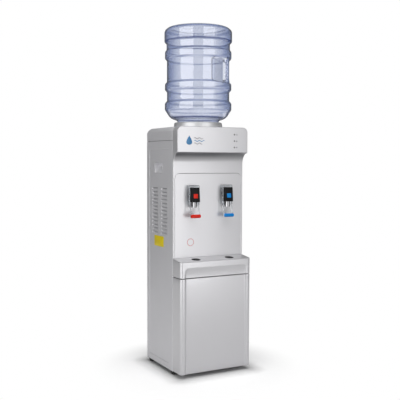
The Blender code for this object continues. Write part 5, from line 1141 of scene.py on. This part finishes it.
studio = dict(
    camera=(-1.3279, -2.4861, 0.82735), azimuth=28.284, pitch=3.1079, roll=0.1518, lens=62.843, distance=2.0,
    low=-0.1, high=2.5, cardNear=0.97,
    # name, first and last bearing, strength as a lamp, strength in reflections
    boxes=(("left softbox", -182.0, -135.5, 0.80, 2.95), ("right softbox", -100.5, -63.0, 0.50, 2.5),
           ("far right softbox", -63.0, -54.0, 0.4, 0.8)),
    overhead=2.6, overheadSize=2.2, overheadPlace=(-0.3, -1.1, 2.7), overheadAim=(0, -0.1, 0.8),
    ambient=0.12, mirrored=0.12, ambientColour=(0.98, 0.99, 1.0), white=(1, 1, 1),
    footprint=0.153, floorColour=0.80, floorLift=0.42, liftReach=0.07, floorMirrored=0.75, floorFade=(0.22, 0.44),
    floorRadius=3.0,
)


def placeObject(name, data, place, turn):
    holder = bpy.data.objects.new(name, data)
    scene.collection.objects.link(holder)
    holder.matrix_world = Matrix.Translation(place) @ turn.to_4x4()
    return holder


def makeCamera(s):
    azimuth, pitch, roll = (math.radians(s[key]) for key in ("azimuth", "pitch", "roll"))
    ahead = Vector((math.sin(azimuth) * math.cos(pitch), math.cos(azimuth) * math.cos(pitch), -math.sin(pitch)))
    right = Vector((math.cos(azimuth), -math.sin(azimuth), 0))
    up = right.cross(ahead)
    turnedRight = right * math.cos(roll) + up * math.sin(roll)
    turnedUp = up * math.cos(roll) - right * math.sin(roll)
    camera = bpy.data.cameras.new("camera")
    camera.lens, camera.sensor_width, camera.sensor_fit = s["lens"], 36.0, "HORIZONTAL"
    scene.camera = placeObject("camera", camera, s["camera"], Matrix((turnedRight, turnedUp, -ahead)).transposed())


def makeLamp(name, place, aim, width, height, strength, diffuse, glossy):
    # a rectangle of even strength, seen neither by the camera nor through the plastic
    light = bpy.data.lights.new(name, "AREA")
    light.shape, light.size, light.size_y = "RECTANGLE", width, height
    light.energy = strength * math.pi * width * height
    place = Vector(place)
    holder = placeObject(name, light, place, (Vector(aim) - place).to_track_quat("-Z", "Y").to_matrix())
    holder.visible_camera = holder.visible_transmission = False
    holder.visible_diffuse, holder.visible_glossy = diffuse, glossy


def makeSoftbox(name, start, end, radiance, glossy, s):
    # a box that lights the object, and just in front of it a card that only reflections see
    middle, half = math.radians((start + end) / 2), math.radians(abs(end - start) / 2)
    reach, height = s["distance"] * math.cos(half), (s["low"] + s["high"]) / 2
    width = 2 * s["distance"] * math.sin(half)
    for ending, strength, near in (("", radiance, 1.0), (" card", glossy, s["cardNear"])):
        place = (reach * near * math.cos(middle), reach * near * math.sin(middle), height)
        makeLamp(name + ending, place, (0, 0, height), width, s["high"] - s["low"], strength, not ending, bool(ending))


def seenPlainly(tree, path):
    # 1 for the camera and for what is seen through clear plastic
    return mathOf(tree, "MAXIMUM", path["Is Camera Ray"], path["Is Transmission Ray"])


def makeWorld(s):
    world = bpy.data.worlds.new("studio")
    scene.world = world
    world.use_nodes = True
    tree = world.node_tree
    tree.nodes.clear()
    path = addNode(tree, "LightPath").outputs
    level = addNode(tree, "Mix", {"Factor": path["Is Glossy Ray"], "A": s["ambient"], "B": s["mirrored"]})
    soft = addNode(tree, "Background", {"Color": s["ambientColour"], "Strength": level.outputs[0]})
    white = addNode(tree, "Background", {"Color": s["white"], "Strength": 1.0})
    mix = addNode(tree, "MixShader", {0: seenPlainly(tree, path), 1: soft.outputs[0], 2: white.outputs[0]})
    addNode(tree, "OutputWorld", {"Surface": mix.outputs[0]})


def floorMaterial(s):
    # paint that gives way to white further out for the camera; the glowing lift is held off under the case, so that
    # its real shadow shows, and eases in over liftReach, which paints a darker shadow round the case
    material, tree, shader = startMaterial("pale floor")
    tree.nodes.remove(shader)
    place = addNode(tree, "TexCoord").outputs["Object"]
    path = addNode(tree, "LightPath").outputs
    fade = ranged(tree, vectorOf(tree, "LENGTH", place), *s["floorFade"], kind="SMOOTHSTEP")
    seen = mathOf(tree, "MAXIMUM", seenPlainly(tree, path), product(tree, path["Is Glossy Ray"], s["floorMirrored"]))
    # painted shadow: no glow within the footprint, rising to floorLift over liftReach beyond it
    past = vectorOf(tree, "SUBTRACT", vectorOf(tree, "ABSOLUTE", place), (s["footprint"], s["footprint"], 0))
    past = vectorOf(tree, "LENGTH", vectorOf(tree, "MAXIMUM", past, (0, 0, 0)))
    lift = product(tree, seen, ranged(tree, past, 0.0, s["liftReach"], 0.0, s["floorLift"]))
    paint = addNode(tree, "BsdfDiffuse", {"Color": (s["floorColour"],) * 3})
    glow = addNode(tree, "Emission", {"Color": s["white"], "Strength": lift})
    near = addNode(tree, "AddShader", {0: paint.outputs[0], 1: glow.outputs[0]})
    white = addNode(tree, "Emission", {"Color": s["white"], "Strength": 1.0})
    mix = addNode(tree, "MixShader", {0: product(tree, fade, seen), 1: near.outputs[0], 2: white.outputs[0]})
    setSocket(tree, tree.nodes["Material Output"].inputs["Surface"], mix.outputs[0])
    return material


def makeFloor(s):
    # a disc of rings, its faces looking up
    rings, turn = np.linspace(0, s["floorRadius"], 25)[:, None], fullTurn(96)[::-1]
    points = joined(rings * np.cos(turn), rings * np.sin(turn), 0)
    floor = gridMesh("floor", points, floorMaterial(s), wrap=True, outward=False)


makeCamera(studio)
for box in studio["boxes"]:
    makeSoftbox(*box, studio)
makeLamp("overhead softbox", studio["overheadPlace"], studio["overheadAim"], studio["overheadSize"],
         studio["overheadSize"], studio["overhead"], True, False)
makeWorld(studio)
makeFloor(studio)
print("studio ready")
